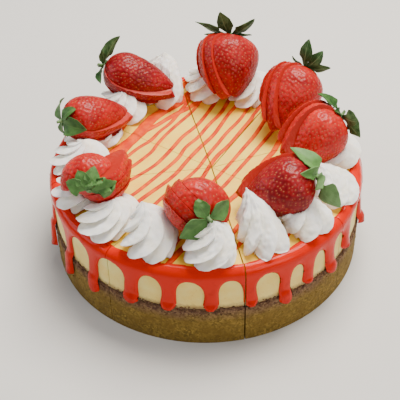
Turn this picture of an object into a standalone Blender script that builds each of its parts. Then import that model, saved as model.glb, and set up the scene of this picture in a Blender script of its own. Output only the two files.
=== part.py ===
"""A round strawberry cheesecake, about 228 mm across, already cut into eight slices.

Each slice is a crumb crust, the filling that sits in it and the fruit glaze that runs over its rim.
Piped cream rosettes stand side by side round the top, and eight fanned strawberries lie on them.
The origin is the middle of the underside, +Z is up, and the side that faces -Y is the front.
"""

import itertools
import math
import random

import bmesh
import bpy
from mathutils import Matrix, Vector
from mathutils.bvhtree import BVHTree

MM = 0.001

# The cake itself, in metres
CAKE_RADIUS = 114 * MM
CAKE_HEIGHT = 67 * MM
TURN_STEPS = 36
GAP = 0.3 * MM

CRUST_HEIGHT = 33 * MM
CRUST_WALL = 5 * MM
CRUST_BASE = 6 * MM
CRUST_EDGE = 1.4 * MM

FILLING_INSET = 1.2 * MM
FILLING_RADIUS = CAKE_RADIUS - FILLING_INSET
RIM_ROUND = 5 * MM

# The knife met a little right of the middle and towards the front, and the slices are not quite alike
CUT_CENTRE = Vector((4.5 * MM, -5 * MM, 0))
CUT_DEGREES = (20, 59, 102, 145, 187, 229.6, 280.4, 325.2)
KERFS_MM = (0.5, 0.9, 0.9, 0.5, 0.5, 0.5, 0.9, 0.5)

# The glaze: a collar over the rim with drips of different lengths
GLAZE_INNER_RADIUS = 106 * MM
GLAZE_INNER_WANDER = 1.2 * MM
GLAZE_THICKNESS = 1.3 * MM
# Near the crust and over it, the glaze stands out far enough to clear the crust's edge
GLAZE_STEP = FILLING_INSET + 0.6 * MM
GLAZE_STEP_HEIGHT = CRUST_HEIGHT + 4 * MM
DRIP_BULGE = 1.5 * MM
DRIP_HALF_WIDTH = 5.5 * MM
COLLAR_EDGE = CAKE_HEIGHT - 6.2 * MM
# A drip's outline as (share of its half width, share of the way from the collar to its end)
DRIP_OUTLINE = ((-1.2, 0), (-0.85, 0.88), (0, 1), (0.85, 0.88), (1.2, 0))
# Between drips further apart than this, the collar has one more column, a little higher
COLUMN_SPACING = math.radians(14)
COLLAR_ARCH = 1.1 * MM
# How far down the wall the rows of the glaze lie, and how much of the bulge each row from the top takes
GLAZE_ROWS = (0.8, 1.0)
GLAZE_SWELL = (0, 0, 0, 0.2, 1.0, 0.3)
DRIP_DEGREES = (-168, -149, -134, -117.5, -104, -89.5, -76, -63, -53, -42, -31, -13,
                4, 21, 38, 55, 73, 90, 108, 126, 143, 160, 176)
DRIP_ENDS_MM = (12, 17, 23, 31, 33, 34, 34, 27, 35, 30, 36, 29,
                38, 27, 33, 24, 36, 29, 34, 25, 32, 30, 52)

# The piped cream: two rosettes on each slice, a quarter of its angle in from either cut
ROSETTE_RING_RADIUS = 92 * MM
ROSETTE_SHARES = (0.25, 0.75)
ROSETTE_RADIUS = 23.5 * MM
ROSETTE_SPREAD = 0.04
ROSETTE_RIDGES = 7
GROOVE_DEPTH = 0.25
# Each rosette's height in mm, the twist of its ridges in degrees, and how far its point leans, in mm
ROSETTES = (
    (22, 140, -4, -2), (21, 150, -3, -3), (24, 150, -2, -4), (24, 140, 0, -4),
    (36, 90, 4, 7), (23, 130, 3, -3), (20, 150, 4, -1), (23, 160, 5, 0),
    (27, 170, 5, 2), (23, 175, 4, 4), (30, 175, -6, 10), (28, 170, 3, -1),
    (34, 100, -10, 17), (23, 100, -4, 4), (23, 120, -5, 2), (25, 130, -5, 0),
)
LEAN_POWER = 1.4
# The rosettes pulled out thinner towards the point, and the share of their width that is gone there
PINCHES = {13: 0.34}
PINCH_POWER = 0.7
# Each ring of the rosette: its share of the height, and of the radius
ROSETTE_RINGS = ((0, 0.86), (0.2, 1.0), (0.45, 0.88), (0.68, 0.58), (0.88, 0.22))

# The strawberries: calyx and tip as (x, y, height over the filling) in mm, the way the uppermost slice
# faces, the width in mm, the swing of each slice in degrees from the uppermost down, the length and width
# of its sepals in mm, and the sepals as (angle round the stem, lift off the shoulder, size as a share),
# where 90 degrees round the stem is the uppermost slice's side
STRAWBERRIES = (
    dict(calyx=(-76, 82, 32), tip=(-21, 69, 13), cap=(0.0, -0.2, 1.0), width=34, fan=(5, -3, -9),
         leaf=(25, 9),
         sepals=((0, -20, 0.7), (45, 5, 0.5), (90, 30, 0.6), (135, -12, 1.05), (200, -40, 0.4))),
    dict(calyx=(-103, 20, 27), tip=(-55, 47, 12), cap=(-0.1, -0.3, 1.0), width=34, fan=(3, -4, -10),
         leaf=(21, 12), sepals=((20, -60, 1.05), (85, -60, 0.7), (165, -40, 0.95), (290, -50, 0.6))),
    dict(calyx=(-79, -57, 27), tip=(-82, -12, 14), cap=(-0.35, -0.3, 1.0), width=40, fan=(6, -44, -52, -60),
         leaf=(18, 11), sepals=((50, -50, 0.85), (95, -50, 0.85), (140, -40, 0.95), (355, 10, 1.1))),
    dict(calyx=(0, -90, 29), tip=(-17, -45, 16), cap=(0.8, -0.2, 0.6), width=43, fan=(-6, 4, 14, 24),
         leaf=(19, 12), sepals=((72, -38, 1.0), (170, -40, 0.8), (262, -15, 1.15), (350, -40, 0.5))),
    dict(calyx=(73, -55, 31), tip=(21, -54, 9), cap=(0.25, -0.65, 0.9), width=41, fan=(4, -8, -16, -24),
         leaf=(22, 12), sepals=((5, -45, 1.15), (80, -40, 0.85), (125, 15, 0.8), (168, 38, 1.3),
                                (290, -20, 0.5))),
    dict(calyx=(97, 9, 33), tip=(56, -13, 12), cap=(0.7, -0.45, 0.6), width=39, fan=(10, -8, -21, -34),
         leaf=(20, 10), sepals=((40, -50, 0.6), (98, 8, 1.05), (138, 0, 1.1), (230, -40, 0.5),
                                (350, -15, 1.15))),
    dict(calyx=(77, 67, 35), tip=(50, 21, 11), cap=(0.75, -0.3, 0.6), width=42, fan=(10, -2, -12, -22),
         leaf=(22, 9), sepals=((35, 55, 1.1), (75, 50, 1.0), (112, 20, 0.85), (160, 0, 0.5), (320, 30, 0.6))),
    dict(calyx=(22, 104, 42), tip=(17, 60, 12), cap=(0.7, -0.35, 0.6), width=47, fan=(6, -4, -13, -22),
         leaf=(27, 10), sepals=((25, 32, 1.05), (92, 25, 0.97), (140, 10, 0.55), (300, 5, 0.7),
                                (330, 25, 1.05))),
)
BERRY_THICKNESS = 0.94
BERRY_SHOULDER = 0.3
BERRY_TAPER = 0.8
BERRY_SIDES = 10
BERRY_RINGS = 7
TOP_SLICE_SHARE = 0.4
HINGE_SHARE = 0.14
SEPAL_THICKNESS = 0.7 * MM
SEPAL_CLEARANCE = 1.4 * MM
STEM_LENGTH = 4 * MM
HUB_RADIUS = 2.6 * MM
HUB_RISE = 1.2 * MM
SEPAL_WIDTHS = (0.4, 1.0, 0.78, 0)
SEPAL_CURL = 1.2
SEPAL_CROWDING = 0.92

# Faces that turn less than this from one another count as one flat face, or as one smooth one
FLAT_ANGLE = math.radians(0.5)
SMOOTH_ANGLE = math.radians(45)

# The dents that the strawberries and their sepals press into the cream
DENT_MARGIN = 0.4 * MM
GLAZE_CLEAR_RADIUS = 101.5 * MM
# The room that the collar takes under a rosette, outwards, along the rim and down
RIM_ROOM = (60 * MM, 80 * MM, 20 * MM)


def clear_scene():
    for thing in list(bpy.data.objects):
        bpy.data.objects.remove(thing, do_unlink=True)


def finish(name, red, green, blue, roughness):
    """A plain Principled material with one colour, given as sRGB values from 0 to 255."""
    made = bpy.data.materials.new(name)
    made.use_nodes = True
    shader = made.node_tree.nodes["Principled BSDF"]
    linear = [(value / 255) ** 2.2 for value in (red, green, blue)]
    shader.inputs["Base Color"].default_value = (*linear, 1)
    shader.inputs["Roughness"].default_value = roughness
    return made


def add_object(name, mesh, material):
    """Makes a named object from a bmesh, with its material."""
    data = bpy.data.meshes.new(name)
    mesh.to_mesh(data)
    mesh.free()
    data.materials.append(material)
    data.shade_smooth()
    data.set_sharp_from_angle(angle=SMOOTH_ANGLE)
    made = bpy.data.objects.new(name, data)
    bpy.context.scene.collection.objects.link(made)
    return made


def turned(profile):
    """Spins an outline of (radius, height) points, which starts and ends on the axis, into a solid."""
    mesh = bmesh.new()
    points = [mesh.verts.new((radius, 0, height)) for radius, height in profile]
    edges = [mesh.edges.new(pair) for pair in zip(points, points[1:])]
    bmesh.ops.spin(mesh, geom=points + edges, cent=(0, 0, 0), axis=(0, 0, 1), dvec=(0, 0, 0),
                   angle=math.tau, steps=TURN_STEPS, use_duplicate=False)
    bmesh.ops.remove_doubles(mesh, verts=mesh.verts, dist=GAP / 10)
    bmesh.ops.recalc_face_normals(mesh, faces=mesh.faces)
    return mesh


def keep_side(mesh, point, normal):
    """Cuts the mesh with a plane, drops what lies beyond it on the normal's side, and closes the cut."""
    everything = mesh.verts[:] + mesh.edges[:] + mesh.faces[:]
    cut = bmesh.ops.bisect_plane(mesh, geom=everything, dist=1e-7, plane_co=point, plane_no=normal,
                                 clear_outer=True)["geom_cut"]
    edges = [item for item in cut if isinstance(item, bmesh.types.BMEdge)]
    if edges:
        bmesh.ops.triangle_fill(mesh, edges=edges, use_beauty=True)
        bmesh.ops.recalc_face_normals(mesh, faces=mesh.faces)


def slice_of(whole, number):
    """The wedge of a turned piece between two cuts, half a kerf short of each."""
    mesh = whole.copy()
    for cut, side in ((number, 1), ((number + 1) % len(CUT_DEGREES), -1)):
        angle = math.radians(CUT_DEGREES[cut])
        beyond = Vector((math.sin(angle), -math.cos(angle), 0)) * side
        keep_side(mesh, CUT_CENTRE - beyond * KERFS_MM[cut] * MM / 2, beyond)
    return mesh


def rim_arc(radius, height, size, steps):
    """A quarter circle that rounds the edge between a wall of that radius and a top at that height."""
    corner = Vector((radius - size, height - size))
    turns = [math.radians(90 * step / steps) for step in range(steps + 1)]
    return [tuple(corner + size * Vector((math.cos(turn), math.sin(turn)))) for turn in turns]


def crust_profile():
    top = rim_arc(CAKE_RADIUS, CRUST_HEIGHT, CRUST_EDGE, 2)
    inside = CAKE_RADIUS - CRUST_WALL
    return [(0, 0), (CAKE_RADIUS, 0), *top,
            (inside, CRUST_HEIGHT), (inside, CRUST_BASE), (0, CRUST_BASE)]


def filling_profile():
    inside = CAKE_RADIUS - CRUST_WALL - GAP
    return [(0, CRUST_BASE + GAP), (inside, CRUST_BASE + GAP), (inside, CRUST_HEIGHT + GAP),
            (FILLING_RADIUS, CRUST_HEIGHT + GAP), *rim_arc(FILLING_RADIUS, CAKE_HEIGHT, RIM_ROUND, 2),
            (0, CAKE_HEIGHT)]


def drip_columns():
    """Columns round the rim as (angle, height of the glaze's lower edge, bulge from 0 to 1)."""
    half = DRIP_HALF_WIDTH / CAKE_RADIUS
    columns = []
    drips = sorted(zip(DRIP_DEGREES, DRIP_ENDS_MM))
    for number, (degrees, end_mm) in enumerate(drips):
        middle = math.radians(degrees)
        for share, depth in DRIP_OUTLINE:
            columns.append((middle + share * half, COLLAR_EDGE + (end_mm * MM - COLLAR_EDGE) * depth, depth))
        following = math.radians(drips[number + 1][0]) if number + 1 < len(drips) else (
            math.radians(drips[0][0]) + math.tau)
        if following - middle > COLUMN_SPACING:
            columns.append(((middle + following) / 2, COLLAR_EDGE + COLLAR_ARCH, 0))
    return columns


def glaze_rows(lower_edge, thickness, inner_edge):
    """Where the glaze's skin passes, as (radius, height), from the inner edge to the bottom of the collar."""
    arc = rim_arc(FILLING_RADIUS + thickness, CAKE_HEIGHT + thickness, RIM_ROUND + thickness, 2)
    side = FILLING_RADIUS + thickness
    start = CAKE_HEIGHT - RIM_ROUND
    heights = [start + (lower_edge - start) * share for share in GLAZE_ROWS]
    low = [(side + (GLAZE_STEP if height < GLAZE_STEP_HEIGHT else 0), height) for height in heights]
    return [(inner_edge, CAKE_HEIGHT + thickness), *reversed(arc), *low]


def glaze_ring():
    """The whole collar of glaze, standing a small gap off the filling."""
    mesh = bmesh.new()
    draw = random.Random(5)
    rings = []
    for angle, lower_edge, bulge in drip_columns():
        inner_edge = GLAZE_INNER_RADIUS + draw.uniform(-GLAZE_INNER_WANDER, GLAZE_INNER_WANDER)
        outside = glaze_rows(lower_edge, GLAZE_THICKNESS, inner_edge)
        under = glaze_rows(lower_edge, GAP, inner_edge)
        outside = [(radius + bulge * DRIP_BULGE * share, height)
                   for (radius, height), share in zip(outside, GLAZE_SWELL)]
        turn = Matrix.Rotation(angle, 3, "Z")
        rings.append([mesh.verts.new(turn @ Vector((radius, 0, height)))
                      for radius, height in outside + under[::-1]])
    for ring, following in zip(rings, rings[1:] + rings[:1]):
        for number in range(len(ring)):
            after = (number + 1) % len(ring)
            mesh.faces.new((ring[number], ring[after], following[after], following[number]))
    bmesh.ops.recalc_face_normals(mesh, faces=mesh.faces)
    return mesh


def berry_radius(share):
    """The berry's half width, as a share of its widest, at a share of the way from the calyx to the tip."""
    if share < BERRY_SHOULDER:
        return math.sqrt(max(0, 1 - (1 - share / BERRY_SHOULDER) ** 2))
    return math.cos(math.pi / 2 * (share - BERRY_SHOULDER) / (1 - BERRY_SHOULDER)) ** BERRY_TAPER


def berry_shape(length, width):
    """A whole strawberry along +Y, with its calyx end at the origin."""
    mesh = bmesh.new()
    bmesh.ops.create_uvsphere(mesh, u_segments=BERRY_SIDES, v_segments=BERRY_RINGS, radius=1)
    for vert in mesh.verts:
        share = math.acos(max(-1, min(1, vert.co.z))) / math.pi
        across = Vector((vert.co.x, vert.co.y)).normalized()
        wide = berry_radius(share) * width / 2
        vert.co = Vector((across.x * wide, share * length, across.y * wide * BERRY_THICKNESS))
    bmesh.ops.triangulate(mesh, faces=mesh.faces)
    bmesh.ops.recalc_face_normals(mesh, faces=mesh.faces)
    return mesh


def clear_seams(mesh):
    """Merges the faces that lie flat together, and splits them into the fewest triangles."""
    bmesh.ops.dissolve_limit(mesh, angle_limit=FLAT_ANGLE, verts=mesh.verts, edges=mesh.edges)
    bmesh.ops.triangulate(mesh, faces=mesh.faces)


def combine(thing, other, operation):
    """Joins another solid to the object or cuts it away, then clears the seams out of the flat faces."""
    step = thing.modifiers.new(operation.title(), "BOOLEAN")
    step.operation = operation
    step.object = other
    graph = bpy.context.evaluated_depsgraph_get()
    made = bpy.data.meshes.new_from_object(thing.evaluated_get(graph))
    thing.modifiers.clear()
    thing.data = made
    mesh = bmesh.new()
    mesh.from_mesh(made)
    clear_seams(mesh)
    mesh.to_mesh(made)
    mesh.free()


def berry_place(berry):
    """The matrix that puts a strawberry, modelled along +Y, from its calyx point to its tip."""
    calyx = Vector(berry["calyx"]) * MM + Vector((0, 0, CAKE_HEIGHT))
    tip = Vector(berry["tip"]) * MM + Vector((0, 0, CAKE_HEIGHT))
    along = (tip - calyx).normalized()
    cap = Vector(berry["cap"])
    cap = (cap - along * cap.dot(along)).normalized()
    side = along.cross(cap)
    turn = Matrix((side, along, cap)).transposed().to_4x4()
    return Matrix.Translation(calyx) @ turn, (tip - calyx).length


def fanned_berry(name, berry, material):
    """A strawberry sliced from its tip nearly to its calyx, with the slices swung apart like a hand fan."""
    place, length = berry_place(berry)
    width = berry["width"] * MM
    thick = width * BERRY_THICKNESS
    count = len(berry["fan"])
    pivot = Vector((0, HINGE_SHARE * length, 0))
    thin = thick * (1 - TOP_SLICE_SHARE) / (count - 1)
    for number, swing in enumerate(berry["fan"]):
        mesh = berry_shape(length, width)
        top = thick / 2 - (thick * TOP_SLICE_SHARE + (number - 1) * thin if number else 0)
        bottom = top - (thin if number else thick * TOP_SLICE_SHARE)
        if number > 0:
            keep_side(mesh, Vector((0, 0, top + GAP / 2)), Vector((0, 0, 1)))
        if number < count - 1:
            keep_side(mesh, Vector((0, 0, bottom - GAP / 2)), Vector((0, 0, -1)))
        turn = (Matrix.Translation(pivot) @ Matrix.Rotation(math.radians(swing), 4, "Z")
                @ Matrix.Translation(-pivot))
        mesh.transform(place @ turn)
        if number == 0:
            body = add_object(name, mesh, material)
        else:
            part = add_object(f"{name}_slice_{number + 1}", mesh, material)
            combine(body, part, "UNION")
            bpy.data.objects.remove(part, do_unlink=True)
    return body


def sepal_rows(direction, lift, room, leaf):
    """A sepal's rows in the berry's frame, from the hub to its point, each a list of one or two corners.

    The room is the angle to the nearest neighbour, which limits how broad the sepal can be.
    """
    radial = Vector((math.cos(direction), 0, math.sin(direction)))
    sideways = Vector((-math.sin(direction), 0, math.cos(direction)))
    point = radial * HUB_RADIUS + Vector((0, -HUB_RISE, 0))
    rows = []
    steps = len(SEPAL_WIDTHS) - 1
    for number, wide in enumerate(SEPAL_WIDTHS):
        if number:
            bend = math.radians(lift) * number / steps * SEPAL_CURL
            step = leaf[0] / steps
            point = point + (radial * math.cos(bend) + Vector((0, -1, 0)) * math.sin(bend)) * step
        free = 2 * point.dot(radial) * math.tan(room / 2) * SEPAL_CROWDING
        broad = leaf[1] * wide
        half = sideways * min(broad, free if number < 2 else broad) / 2
        rows.append([point - half, point + half] if wide else [point])
    return rows


def calyx_of(name, berry, body, material):
    """The leafy cap: a stem stub with pointed sepals that lie on the berry's shoulder or lift off it."""
    place, _ = berry_place(berry)
    probe = bmesh.new()
    probe.from_mesh(body.data)
    probe.transform(place.inverted())
    tree = BVHTree.FromBMesh(probe)
    probe.free()
    clearance = SEPAL_THICKNESS + SEPAL_CLEARANCE
    mesh = bmesh.new()
    stem = mesh.verts.new((0, -STEM_LENGTH, 0))
    sepals = []
    turns = sorted(berry["sepals"])
    for number, (degrees, lift, size) in enumerate(turns):
        following = turns[(number + 1) % len(turns)][0]
        room = min((following - degrees) % 360, (degrees - turns[number - 1][0]) % 360)
        rows = []
        leaf = [value * size * MM for value in berry["leaf"]]
        for corners in sepal_rows(math.radians(degrees), lift, math.radians(room), leaf):
            row = []
            for corner in corners:
                hit = tree.ray_cast(Vector((corner.x, -CAKE_RADIUS, corner.z)), Vector((0, 1, 0)))[0]
                if hit is not None:
                    corner.y = min(corner.y, hit.y - clearance)
                row.append(mesh.verts.new(corner))
            rows.append(row)
        sepals.append(rows)
    for number, rows in enumerate(sepals):
        left, right = rows[0]
        following = sepals[(number + 1) % len(sepals)][0][0]
        mesh.faces.new((stem, left, right))
        mesh.faces.new((stem, right, following))
        for near, far in zip(rows, rows[1:]):
            if len(far) == 2:
                mesh.faces.new((near[0], far[0], far[1], near[1]))
            else:
                mesh.faces.new((near[0], far[0], near[1]))
    bmesh.ops.triangulate(mesh, faces=mesh.faces)
    bmesh.ops.recalc_face_normals(mesh, faces=mesh.faces)
    if sum(face.normal.y * face.calc_area() for face in mesh.faces) > 0:
        bmesh.ops.reverse_faces(mesh, faces=mesh.faces)
    mesh.transform(place)
    made = add_object(name, mesh, material)
    thicken = made.modifiers.new("Thickness", "SOLIDIFY")
    thicken.thickness = SEPAL_THICKNESS
    thicken.offset = 1
    return made


def rosette_shape(draw, height, twist, lean, pinch):
    """A twisted star of piped cream, which rises to a point that leans to one side."""
    mesh = bmesh.new()
    count = ROSETTE_RIDGES * 2
    phase = draw.uniform(0, math.tau)
    size = ROSETTE_RADIUS * (1 + draw.uniform(-ROSETTE_SPREAD, ROSETTE_SPREAD))
    rings = []
    for level, wide in ROSETTE_RINGS:
        ring = []
        for number in range(count):
            angle = phase + math.tau * number / count + twist * level
            radius = size * wide * (1 - GROOVE_DEPTH * (number % 2)) * (1 - pinch * level ** PINCH_POWER)
            spot = Vector((radius * math.cos(angle), radius * math.sin(angle), height * level))
            ring.append(mesh.verts.new(spot + lean * level ** LEAN_POWER))
        rings.append(ring)
    for ring, above in zip(rings, rings[1:]):
        for number in range(count):
            after = (number + 1) % count
            mesh.faces.new((ring[number], ring[after], above[after], above[number]))
    mesh.faces.new(rings[0][::-1])
    point = mesh.verts.new(Vector((0, 0, height)) + lean)
    for number in range(count):
        mesh.faces.new((rings[-1][number], rings[-1][(number + 1) % count], point))
    bmesh.ops.triangulate(mesh, faces=mesh.faces)
    bmesh.ops.recalc_face_normals(mesh, faces=mesh.faces)
    return mesh


def rosette_centres():
    """Where the rosettes stand: on the ring, in the directions that their shares of each slice give."""
    centres = []
    for number, first in enumerate(CUT_DEGREES):
        last = CUT_DEGREES[(number + 1) % len(CUT_DEGREES)]
        for share in ROSETTE_SHARES:
            angle = math.radians(first + ((last - first) % 360) * share)
            way = Vector((math.cos(angle), math.sin(angle), 0))
            along = way.dot(CUT_CENTRE)
            reach = -along + math.sqrt(along ** 2 - CUT_CENTRE.length_squared + ROSETTE_RING_RADIUS ** 2)
            centres.append(CUT_CENTRE + way * reach)
    return centres


def convex_block(corners):
    """The closed block with flat facets that the corners span."""
    mesh = bmesh.new()
    for corner in corners:
        mesh.verts.new(corner)
    bmesh.ops.remove_doubles(mesh, verts=mesh.verts, dist=GAP / 10)
    hull = bmesh.ops.convex_hull(mesh, input=mesh.verts)
    inner = [item for item in hull["geom_interior"] if isinstance(item, bmesh.types.BMVert)]
    bmesh.ops.delete(mesh, geom=inner, context="VERTS")
    return mesh


def dent_cutter(name, thing, place):
    """A helper: a convex block with flat facets that just clears an object, turned with the strawberry."""
    graph = bpy.context.evaluated_depsgraph_get()
    body = thing.evaluated_get(graph).data
    corners = [vert.co.copy() for vert in body.vertices]
    middle = sum(corners, Vector()) / len(corners)
    mesh = convex_block([middle + CAKE_RADIUS * Vector(way) for way in itertools.product((-1, 1), repeat=3)])
    turn = place.to_3x3()
    for way in itertools.product((-1, 0, 1), repeat=3):
        if any(way):
            facing = turn @ Vector(way).normalized()
            reach = max(corner.dot(facing) for corner in corners) + DENT_MARGIN
            bmesh.ops.bisect_plane(mesh, geom=mesh.verts[:] + mesh.edges[:] + mesh.faces[:],
                                   plane_co=facing * reach, plane_no=facing, clear_outer=True)
            kept = convex_block([vert.co for vert in mesh.verts])
            mesh.free()
            mesh = kept
    clear_seams(mesh)
    return helper(name, mesh)


def rim_room(name, centre):
    """A helper: the room under a rosette that the collar of glaze takes."""
    mesh = bmesh.new()
    bmesh.ops.create_cube(mesh, size=1)
    depth, width, height = RIM_ROOM
    top = CAKE_HEIGHT + GLAZE_THICKNESS + GAP
    for vert in mesh.verts:
        vert.co = Vector((vert.co.x * depth, vert.co.y * width, vert.co.z * height))
        vert.co += Vector((GLAZE_CLEAR_RADIUS + depth / 2, 0, top - height / 2))
    mesh.transform(Matrix.Rotation(math.atan2(centre.y, centre.x), 4, "Z"))
    return helper(name, mesh)


def helper(name, mesh):
    """A cutter that neither renders nor shows as a solid."""
    cutter = add_object(name, mesh, bpy.data.materials["cream"])
    cutter.hide_render = True
    cutter.display_type = "WIRE"
    return cutter


def meets(thing, other):
    """Whether the boxes round two objects overlap."""
    boxes = [[(min(values), max(values)) for values in zip(*each.bound_box)] for each in (thing, other)]
    return all(first[0] < second[1] and second[0] < first[1] for first, second in zip(*boxes))


def build():
    clear_scene()
    crust_finish = finish("crumb_crust", 148, 112, 58, 0.9)
    filling_finish = finish("filling", 244, 220, 160, 0.5)
    glaze_finish = finish("glaze", 214, 42, 20, 0.12)
    cream_finish = finish("cream", 250, 247, 240, 0.55)
    berry_finish = finish("strawberry", 190, 30, 32, 0.3)
    calyx_finish = finish("sepals", 84, 122, 60, 0.6)

    for prefix, whole, material in (("crust", turned(crust_profile()), crust_finish),
                                    ("filling", turned(filling_profile()), filling_finish),
                                    ("glaze", glaze_ring(), glaze_finish)):
        for number in range(len(CUT_DEGREES)):
            add_object(f"{prefix}_{number + 1}", slice_of(whole, number), material)
        whole.free()

    dents = []
    for number, berry in enumerate(STRAWBERRIES, 1):
        body = fanned_berry(f"strawberry_{number}", berry, berry_finish)
        leaves = calyx_of(f"calyx_{number}", berry, body, calyx_finish)
        place, _ = berry_place(berry)
        dents.append(dent_cutter(f"dent_{number}", body, place))
        dents.append(dent_cutter(f"calyx_dent_{number}", leaves, place))

    centres = rosette_centres()
    draw = random.Random(11)
    for number, centre in enumerate(centres):
        height_mm, twist_degrees, lean_x, lean_y = ROSETTES[number]
        lean = Vector((lean_x, lean_y, 0)) * MM
        pinch = PINCHES.get(number + 1, 0)
        mesh = rosette_shape(draw, height_mm * MM, math.radians(twist_degrees), lean, pinch)
        mesh.transform(Matrix.Translation(centre + Vector((0, 0, CAKE_HEIGHT + GAP))))
        for other in (centres[number - 1], centres[(number + 1) % len(centres)]):
            away = (other - centre).normalized()
            keep_side(mesh, (centre + other) / 2 - away * GAP / 2, away)
        rosette = add_object(f"rosette_{number + 1}", mesh, cream_finish)
        room = rim_room(f"rim_room_{number + 1}", centre)
        for cutter in (room, *dents):
            if meets(rosette, cutter):
                combine(rosette, cutter, "DIFFERENCE")
        bpy.data.objects.remove(room, do_unlink=True)
    for dent in dents:
        bpy.data.objects.remove(dent, do_unlink=True)


build()
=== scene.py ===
"""A round strawberry cheesecake, cut into eight slices and dressed with piped cream and fanned strawberries.

Each section is one part of the cake, in the order in which it is made: the crumb crust, the baked filling,
the glaze over the rim, the lines of sauce, the cream, the strawberries and their leaves.
"""

import math
import random

import bmesh
import bpy
import numpy as np
from mathutils import Matrix, Vector, noise
from mathutils.bvhtree import BVHTree
from mathutils.kdtree import KDTree


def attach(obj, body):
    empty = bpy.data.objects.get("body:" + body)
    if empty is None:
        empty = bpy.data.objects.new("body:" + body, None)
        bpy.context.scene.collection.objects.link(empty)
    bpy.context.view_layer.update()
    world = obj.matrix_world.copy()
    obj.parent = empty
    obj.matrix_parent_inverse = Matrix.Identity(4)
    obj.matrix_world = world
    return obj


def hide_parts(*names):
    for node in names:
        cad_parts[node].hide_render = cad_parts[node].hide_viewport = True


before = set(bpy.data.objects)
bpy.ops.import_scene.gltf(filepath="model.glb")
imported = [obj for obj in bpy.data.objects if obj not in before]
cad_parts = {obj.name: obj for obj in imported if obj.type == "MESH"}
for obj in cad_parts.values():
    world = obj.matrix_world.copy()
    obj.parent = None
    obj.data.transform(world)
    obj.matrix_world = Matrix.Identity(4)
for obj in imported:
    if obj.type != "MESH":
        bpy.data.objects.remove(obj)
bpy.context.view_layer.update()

# ---- The crust ------------------------------------------------------------------------------------------
# Crushed wheat biscuits mixed with melted butter, pressed by hand against the base and wall of a tin and
# baked. The wall took the tin's smooth curve, its upper edge stayed ragged, and a knife cut it in eight.
MM = 0.001
CAKE_RADIUS = 114 * MM
CRUST_HEIGHT = 33 * MM
CRUST_WALL = 5 * MM
CRUST_BASE = 6 * MM
CRUST_EDGE = 1.4 * MM
CRUST_WALL_STEPS = 34
CRUST_ROUND_STEPS = 700
# The share of its height from which the wall grows rougher, and how rough it is below that
RAGGED_FROM = 0.62
SMOOTHER_WALL = 0.35
CUT_CENTRE = Vector((4.5 * MM, -5 * MM, 0))
CUT_DEGREES = (20, 59, 102, 145, 187, 229.6, 280.4, 325.2)
KERFS_MM = (0.5, 0.9, 0.9, 0.5, 0.5, 0.5, 0.9, 0.5)
# How near to the knife's plane a point counts as on it. Much more than this leaves some cuts open
KNIFE_THRESHOLD = MM / 1000
# A mix node's sockets for colours: its share, the two that it mixes, and what comes out
SHARE, FIRST, SECOND, MIXED = 0, 6, 7, 2


def linear(colour):
    """An sRGB hex colour as the linear values that a shader takes."""
    values = [int(colour[at:at + 2], 16) / 255 for at in (1, 3, 5)]
    return (*[value / 12.92 if value <= 0.04045 else ((value + 0.055) / 1.055) ** 2.4 for value in values], 1)


def new_material(name, **values):
    """A Principled material, with the values that are the same all over it on the shader's own sockets."""
    made = bpy.data.materials.new(name)
    made.use_nodes = True
    shader = made.node_tree.nodes["Principled BSDF"]
    for socket, value in values.items():
        shader.inputs[socket.replace("_", " ")].default_value = value
    return made, shader


def add_node(material, kind, values=None, links=None, **settings):
    """Adds one shader node, with its settings, the values on its sockets and what feeds them."""
    made = material.node_tree.nodes.new("ShaderNode" + kind)
    for setting, value in settings.items():
        setattr(made, setting, value)
    for socket, value in (values or {}).items():
        made.inputs[socket].default_value = value
    for socket, source in (links or {}).items():
        material.node_tree.links.new(source, made.inputs[socket])
    return made


def feed_shader(material, shader, colour, bump=None):
    """Links the last mix of colours to the shader, and the relief where there is one."""
    material.node_tree.links.new(colour.outputs[MIXED], shader.inputs["Base Color"])
    if bump:
        material.node_tree.links.new(bump.outputs[0], shader.inputs["Normal"])


def select_only(thing):
    bpy.ops.object.select_all(action="DESELECT")
    thing.select_set(True)
    bpy.context.view_layer.objects.active = thing


def named(name):
    """Names the object that an operator has just added."""
    made = bpy.context.object
    made.name = made.data.name = name
    return made


def apply_modifiers(thing):
    select_only(thing)
    for modifier in list(thing.modifiers):
        bpy.ops.object.modifier_apply(modifier=modifier.name)


def lathe(name, outline, steps, closed=True):
    """Draws an outline of (radius, height) points with one vertex, and spins it about the middle."""
    bpy.ops.mesh.primitive_plane_add(size=MM, location=(outline[0][0], 0, outline[0][1]))
    made = named(name)
    bpy.ops.object.transform_apply(location=True, rotation=True, scale=True)
    bpy.ops.object.mode_set(mode="EDIT")
    bpy.ops.mesh.select_all(action="SELECT")
    bpy.ops.mesh.merge(type="CENTER")
    for (radius, height), (next_radius, next_height) in zip(outline, outline[1:]):
        move = (next_radius - radius, 0, next_height - height)
        bpy.ops.mesh.extrude_region_move(TRANSFORM_OT_translate={"value": move})
    bpy.ops.mesh.select_all(action="SELECT")
    bpy.ops.mesh.spin(steps=steps, angle=math.tau, center=(0, 0, 0), axis=(0, 0, 1))
    bpy.ops.mesh.select_all(action="SELECT")
    bpy.ops.mesh.remove_doubles(threshold=MM / 100)
    bpy.ops.mesh.normals_make_consistent(inside=False)
    bpy.ops.object.mode_set(mode="OBJECT")
    if not closed and sum(face.normal.z * face.area for face in made.data.polygons) < 0:
        made.data.flip_normals()
    return made


def copied(thing, name):
    made = thing.copy()
    made.data = thing.data.copy()
    made.name = made.data.name = name
    bpy.context.scene.collection.objects.link(made)
    return made


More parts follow.
